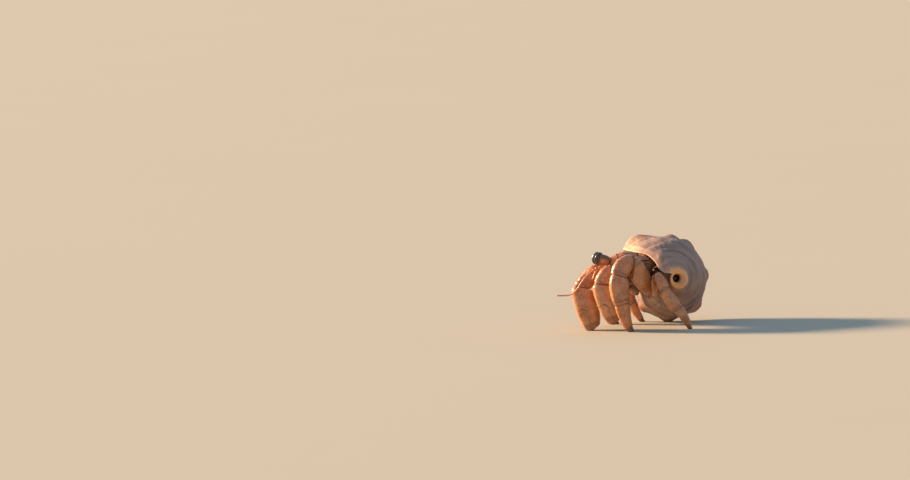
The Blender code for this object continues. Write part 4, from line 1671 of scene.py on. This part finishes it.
@dataclass(eq=False)
class Eye:
    """A flattened eyestalk with its dark eye."""

    side: str
    base: Triple
    neck: Triple
    tip: Triple
    stalk_halves: tuple[float, float] = (0.95, 2.1)
    eye_halves: tuple[float, float] = (0.95, 2.4)

    def build(self, shop: Workshop) -> None:
        """Builds the stalk and the eye.

        Args:
            shop: The workshop.
        """
        base, neck, tip = Vector(self.base), Vector(self.neck), Vector(self.tip)
        stalk = Eyestalk(
            f"eyestalk_{self.side}", base, neck, *self.stalk_halves, STALK, ASIDE,
            armour=SMOOTH, round_start=0.12, sides=48, count=40,
        )
        shop.piece(f"{self.side}_stalk", stalk.build(), Slot.PLATE, [stalk.name])
        eye = Cornea(
            f"eye_{self.side}", neck - (tip - neck) * 0.10, tip, *self.eye_halves, EYEBALL, ASIDE,
            armour=GLASSY, round_end=0.72, sides=56, count=48,
        )
        shop.piece(f"{self.side}_eye", eye.build(), Slot.EYE, [eye.name])


@dataclass(eq=False)
class Feeler:
    """A ringed, tapering feeler on a smooth line. Sizes in millimetres."""

    name: str
    points: tuple[Triple, ...]
    thick: float
    thin: float
    ringed: float = 0.42
    ring_depth: float = 0.13
    swollen_at: tuple[float, ...] = ()
    side: Triple = (0, 1, 0)
    count: int = 260

    def spot(self, share: float, angle: float) -> Spot:
        """A point of the surface, and what the material reads there.

        Args:
            share: Share of the length.
            angle: Angle round it, in radians.

        Returns:
            The point and its traits.
        """
        line = [Vector(point) for point in self.points]
        along = heading(line, share, 0.01)
        upright = along.cross(Vector(self.side)).normalized()
        length = sum((b - a).length for a, b in zip(line, line[1:]))
        beat = (share * length / self.ringed) % 1.0
        radius = (self.thick + (self.thin - self.thick) * share) / 2 * (1 + self.ring_depth * (beat - 0.5))
        radius *= 1 + sum(0.35 * swell((share - place) / 0.06) for place in self.swollen_at)
        radius *= max(0.05, arch(max(0.0, (share - 0.985) / 0.015)))
        out = oval((upright.cross(along).normalized(), upright), (radius, radius), angle)
        traits = {"grain": 0.3 * beat, "edge": 0.8 * swell((beat - 1) / 0.25), "tip": 0.0}
        return smooth_line(line, share) + out, traits

    def build(self, shop: Workshop) -> None:
        """Builds the feeler."""
        bm = loft(crowded_ends(self.count, 0.0), 14, self.spot)
        shop.piece(f"{self.name}_ringed", bm, Slot.PLATE, [self.name])


@dataclass(eq=False)
class Mouth:
    """The pair of jointed outer mouthparts, and the broad bases of the antennae."""

    parts: tuple[tuple[str, Triple, Triple], ...] = (
        ("left", (-12.4, -7.0, 16.6), (-14.6, -7.2, 11.6)),
        ("right", (-12.4, -4.6, 16.6), (-14.6, -4.8, 11.6)),
    )
    halves: tuple[float, float] = (0.9, 1.1)
    bow: Triple = (-1.2, 0, 0.2)
    antenna_bases: tuple[tuple[str, Triple, Triple, tuple[float, float]], ...] = (
        ("left", (-14.6, -8.6, 23.2), (-18.9, -8.9, 22.4), (0.75, 0.85)),
        ("right", (-14.0, -2.1, 23.4), (-17.2, 0.9, 22.3), (0.7, 0.8)),
    )

    def build(self, shop: Workshop) -> None:
        """Builds the four small limbs.

        Args:
            shop: The workshop.
        """
        for side, start, end in self.parts:
            part = Segment(
                f"mouthpart_{side}", Vector(start), Vector(end), *self.halves, MOUTHPART, ASIDE,
                bow=Vector(self.bow), armour=FINE, round_start=0.1, round_end=0.1, sides=32, count=60,
            )
            shop.piece(f"{side}_mouthpart", part.build(), Slot.PLATE, [part.name])
        for side, start, end, halves in self.antenna_bases:
            base = Segment(
                f"antenna_base_{side}", Vector(start), Vector(end), *halves, ANTENNA_BASE, ASIDE,
                armour=FINE, round_start=0.12, round_end=0.06, sides=32, count=56,
            )
            shop.piece(f"{side}_antenna_base", base.build(), Slot.PLATE, [base.name])


EYES = (
    Eye("left", (-13.7, -7.1, 24.4), (-16.9, -7.7, 25.9), (-18.8, -8.0, 26.5)),
    Eye("right", (-14.3, -4.5, 24.5), (-17.8, -4.7, 25.8), (-19.6, -4.8, 26.5)),
)
FEELERS = (
    Feeler(
        "antenna_left",
        ((-19.2, -8.9, 22.2), (-22.8, -9.1, 19.4), (-25.8, -8.9, 15.4), (-28.4, -8.0, 13.5),
         (-33.2, -7.0, 13.3)),
        0.75, 0.5,
    ),
    Feeler(
        "antenna_right",
        ((-17.5, 1.2, 22.1), (-19.6, 4.0, 20.2), (-21.2, 8.0, 16.6), (-22.0, 12.6, 13.4),
         (-21.0, 17.4, 11.0)),
        0.75, 0.5, side=(1, 0, 0),
    ),
    Feeler(
        "antennule_left",
        ((-14.8, -7.0, 21.3), (-17.2, -7.3, 22.0), (-19.0, -7.3, 20.8), (-19.8, -7.4, 18.6)),
        0.7, 0.5, swollen_at=(0.33, 0.62), count=140,
    ),
    Feeler(
        "antennule_right",
        ((-14.9, -5.0, 20.9), (-17.2, -5.5, 22.4), (-20.2, -5.6, 22.0), (-22.0, -5.4, 20.2)),
        0.7, 0.5, swollen_at=(0.33, 0.62), count=140,
    ),
)


@dataclass(eq=False)
class Bristles:
    """Short bristles in tufts on the limbs, one piece in all. Sizes in millimetres.

    Each tuft has a small patch of the map "OFBake", where its root lies on an unwrap of the limbs.
    """

    length: float = 0.62
    thick: float = 0.075
    per_tuft: int = 3
    kinds: int = 4
    per_millimetre: float = 4.2
    row_spread: float = 42.0
    tallest_relief: float = 0.35
    lowest: float = 0.6
    spread: float = 0.12
    sunk: float = 0.12
    tiles: int = 6
    patch: float = 0.003
    seed: int = 11

    def bristle(self, rng: random.Random) -> BMesh:
        """One bent cone that rises along Z and leans towards X.

        Args:
            rng: The source of chance.

        Returns:
            The mesh.
        """
        long = self.length * rng.uniform(0.6, 1.25)
        foot = Vector((rng.uniform(-1, 1), rng.uniform(-1, 1), 0)) * self.spread
        lean = Vector((rng.uniform(0.15, 0.6), rng.uniform(-0.3, 0.3), 0))

        def spot(share: float, angle: float) -> Spot:
            """A point of the bristle."""
            around = Vector((math.cos(angle), math.sin(angle), 0)) * (self.thick / 2 * (1 - 0.85 * share))
            rise = Vector((0, 0, long * share - self.sunk))
            return foot + around + rise + lean * (long * share * share), {"tip": share}

        return loft((0.0, 0.5, 1.0), 3, spot)

    def tuft(self, rng: random.Random) -> bpy.types.Mesh:
        """A few bristles on one root, with their small patch of the map.

        Args:
            rng: The source of chance.

        Returns:
            The mesh.
        """
        bm = join_meshes(self.bristle(rng) for _ in range(self.per_tuft))
        uv = bm.loops.layers.uv.new("OFBake")
        for loop in (loop for face in bm.faces for loop in face.loops):
            x, y, z = loop.vert.co
            loop[uv].uv = (0.5 * self.patch * (x + y), 0.5 * self.patch * (z + x))
        return mesh_of("tuft", bm)

    def on_segment(
        self, segment: Segment, tile: int, tufts: list[bpy.types.Mesh], rng: random.Random
    ) -> BMesh:
        """The tufts of one segment.

        Args:
            segment: The segment that they stand on.
            tile: Which tile of the map is its own.
            tufts: The kinds of tuft.
            rng: The source of chance.

        Returns:
            Their mesh.
        """
        bm = bmesh.new()
        for _ in range(round(segment.length() * self.per_millimetre)):
            share = rng.uniform(0.1, 0.95)
            angle = math.radians(rng.choice((90, 90, -90)) + rng.gauss(0, self.row_spread))
            plain, root = segment.section(share, angle), segment.spot(share, angle)[0]
            if (root - plain).length > self.tallest_relief or root.z < self.lowest:
                continue
            normal = (segment.section(share, angle, 1.0) - plain).normalized()
            along = (segment.chord() - normal * segment.chord().dot(normal)).normalized()
            turned = Matrix((along, normal.cross(along), normal)).transposed().to_4x4()
            first_vert, first_face = len(bm.verts), len(bm.faces)
            bm.from_mesh(rng.choice(tufts))
            bm.verts.ensure_lookup_table()
            bm.faces.ensure_lookup_table()
            bmesh.ops.transform(bm, matrix=Matrix.Translation(root) @ turned, verts=bm.verts[first_vert:])
            uv = bm.loops.layers.uv["OFBake"]
            row, column = divmod(tile, self.tiles)
            across = (angle / math.tau) % 1.0
            spot = Vector((column + 0.1 + 0.8 * across, row + 0.1 + 0.8 * share)) / self.tiles
            for loop in (loop for face in bm.faces[first_face:] for loop in face.loops):
                loop[uv].uv += spot
        return bm

    def build(self, shop: Workshop, segments: Sequence[Segment]) -> None:
        """Builds all bristles.

        Args:
            shop: The workshop.
            segments: The segments of all limbs.
        """
        rng = random.Random(self.seed)
        tufts = [self.tuft(rng) for _ in range(self.kinds)]
        made = [self.on_segment(segment, tile, tufts, rng) for tile, segment in enumerate(segments)]
        shop.piece("limb_bristles", join_meshes(made), Slot.PLATE, material=shop.hair)
        for mesh in tufts:
            bpy.data.meshes.remove(mesh)


@dataclass
class Skin:
    """The one soft skin: the trunk with its hips, and the membranes in the joints."""

    voxel: float = 0.32
    wrinkle: float = 0.07
    smoothings: int = 2

    def build(self, shop: Workshop, trunk: BMesh, cushions: list[BMesh]) -> None:
        """Grows the trunk into one skin and adds the membranes.

        Args:
            shop: The workshop.
            trunk: Overlapping closed meshes of trunk and hips.
            cushions: The membranes.
        """
        bm = self.grown(trunk)
        axes = {f"use_axis_{axis}": True for axis in "xyz"}
        for _ in range(self.smoothings):
            bmesh.ops.smooth_vert(bm, verts=bm.verts, factor=0.5, **axes)
        bm.normal_update()
        for vert in bm.verts:
            stretched = Vector((vert.co.x * 0.35, vert.co.y, vert.co.z * 1.3))
            vert.co += vert.normal * ((lump(stretched, 0.8) + lump(vert.co, 0.5, 0.5)) * self.wrinkle)
        shop.piece("soft_body", join_meshes([bm, *cushions]), Slot.SKIN, ["trunk"])

    def grown(self, trunk: BMesh) -> BMesh:
        """One closed mesh round overlapping ones. The modifier works in metres.

        Args:
            trunk: The overlapping meshes, in millimetres.

        Returns:
            The one mesh.
        """
        bmesh.ops.recalc_face_normals(trunk, faces=trunk.faces)
        bmesh.ops.scale(trunk, vec=(MILLIMETRE,) * 3, verts=trunk.verts)
        mesh = mesh_of("trunk_cage", trunk)
        cage = put_in_scene("trunk_cage", mesh)
        growth = cage.modifiers.new("Grow", "REMESH")
        growth.mode = "VOXEL"
        growth.voxel_size = self.voxel * MILLIMETRE
        grown = bpy.data.meshes.new_from_object(cage.evaluated_get(bpy.context.evaluated_depsgraph_get()))
        bm = bmesh.new()
        bm.from_mesh(grown)
        bmesh.ops.scale(bm, vec=(1 / MILLIMETRE,) * 3, verts=bm.verts)
        bpy.data.objects.remove(cage, do_unlink=True)
        for used in (grown, mesh):
            bpy.data.meshes.remove(used)
        return bm


# ---------------------------------------------------------------- studio


@dataclass(frozen=True)
class Studio:
    """A plain floor, soft light and the camera. Sizes in metres."""

    floor_reach: float = 9.0
    aim: Triple = (-0.06319, 0.00051, 0.0346)
    look_down: float = 6.0
    roll: float = -3.0
    distance: float = 1.82
    lens: float = 200.0
    sensor: float = 36.0
    view_depth: tuple[float, float] = (0.05, 60.0)
    key_colour: Colour = (1.0, 0.73, 0.44)
    key_energy: float = 10.5
    key_angle: float = 9.0
    key_from: Triple = (-0.86, 0.38, 0.32)
    fill_colour: Colour = (0.56, 0.77, 1.0)
    fill_strength: float = 0.62

    def build(self) -> None:
        """Sets the studio up."""
        bm = bmesh.new()
        bmesh.ops.create_grid(bm, x_segments=4, y_segments=4, size=self.floor_reach)
        mesh = mesh_of("studio_floor", bm)
        mesh.materials.append(StudioFinish().make())
        floor = put_in_scene("studio_floor", mesh)
        self.light_up()
        self.place_camera()

    def light_up(self) -> None:
        """A warm low key from the left and a little behind, and a broad cooler fill."""
        key = bpy.data.lights.new("key", "SUN")
        key.energy = self.key_energy
        key.angle = math.radians(self.key_angle)
        key.color = self.key_colour
        towards = Vector(self.key_from).normalized()
        put_in_scene("key", key).matrix_world = towards.to_track_quat("Z", "Y").to_matrix().to_4x4()
        world = bpy.data.worlds.new("studio")
        world.use_nodes = True
        fill = world.node_tree.nodes["Background"].inputs
        fill["Color"].default_value = (*self.fill_colour, 1.0)
        fill["Strength"].default_value = self.fill_strength
        bpy.context.scene.world = world
        bpy.context.scene.view_settings.view_transform = "Standard"

    def place_camera(self) -> None:
        """Aims the camera from the crab's left, a little from above."""
        down = math.radians(self.look_down)
        ahead = Vector((0, math.cos(down), -math.sin(down)))
        data = bpy.data.cameras.new("camera")
        data.lens, data.sensor_width = self.lens, self.sensor
        data.clip_start, data.clip_end = self.view_depth
        camera = put_in_scene("camera", data)
        turned = ahead.to_track_quat("-Z", "Y").to_matrix().to_4x4()
        roll = Matrix.Rotation(math.radians(self.roll), 4, "Z")
        camera.matrix_world = Matrix.Translation(Vector(self.aim) - ahead * self.distance) @ turned @ roll
        bpy.context.scene.camera = camera


def main() -> None:
    """Builds the crab, its shell and the studio in order."""
    logging.basicConfig(level=logging.INFO, format="%(message)s")
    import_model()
    shop = Workshop()
    shell = Shell()
    shell.build(shop)
    cushions, hips, segments = [], [], []
    for limb in (*CLAWS, *LEGS):
        cushions += limb.build(shop)
        hips.append((Vector(limb.joints[0]), limb.sizes[0][1] * HIP_SHARE))
        segments += limb.segments()
    Bristles().build(shop, segments)
    front = Front(shell)
    front.shield(shop)
    front.head(shop)
    Skin().build(shop, front.trunk(hips), cushions)
    for part in (*EYES, *FEELERS, Mouth()):
        part.build(shop)
    Studio().build()


if __name__ == "__main__":
    main()
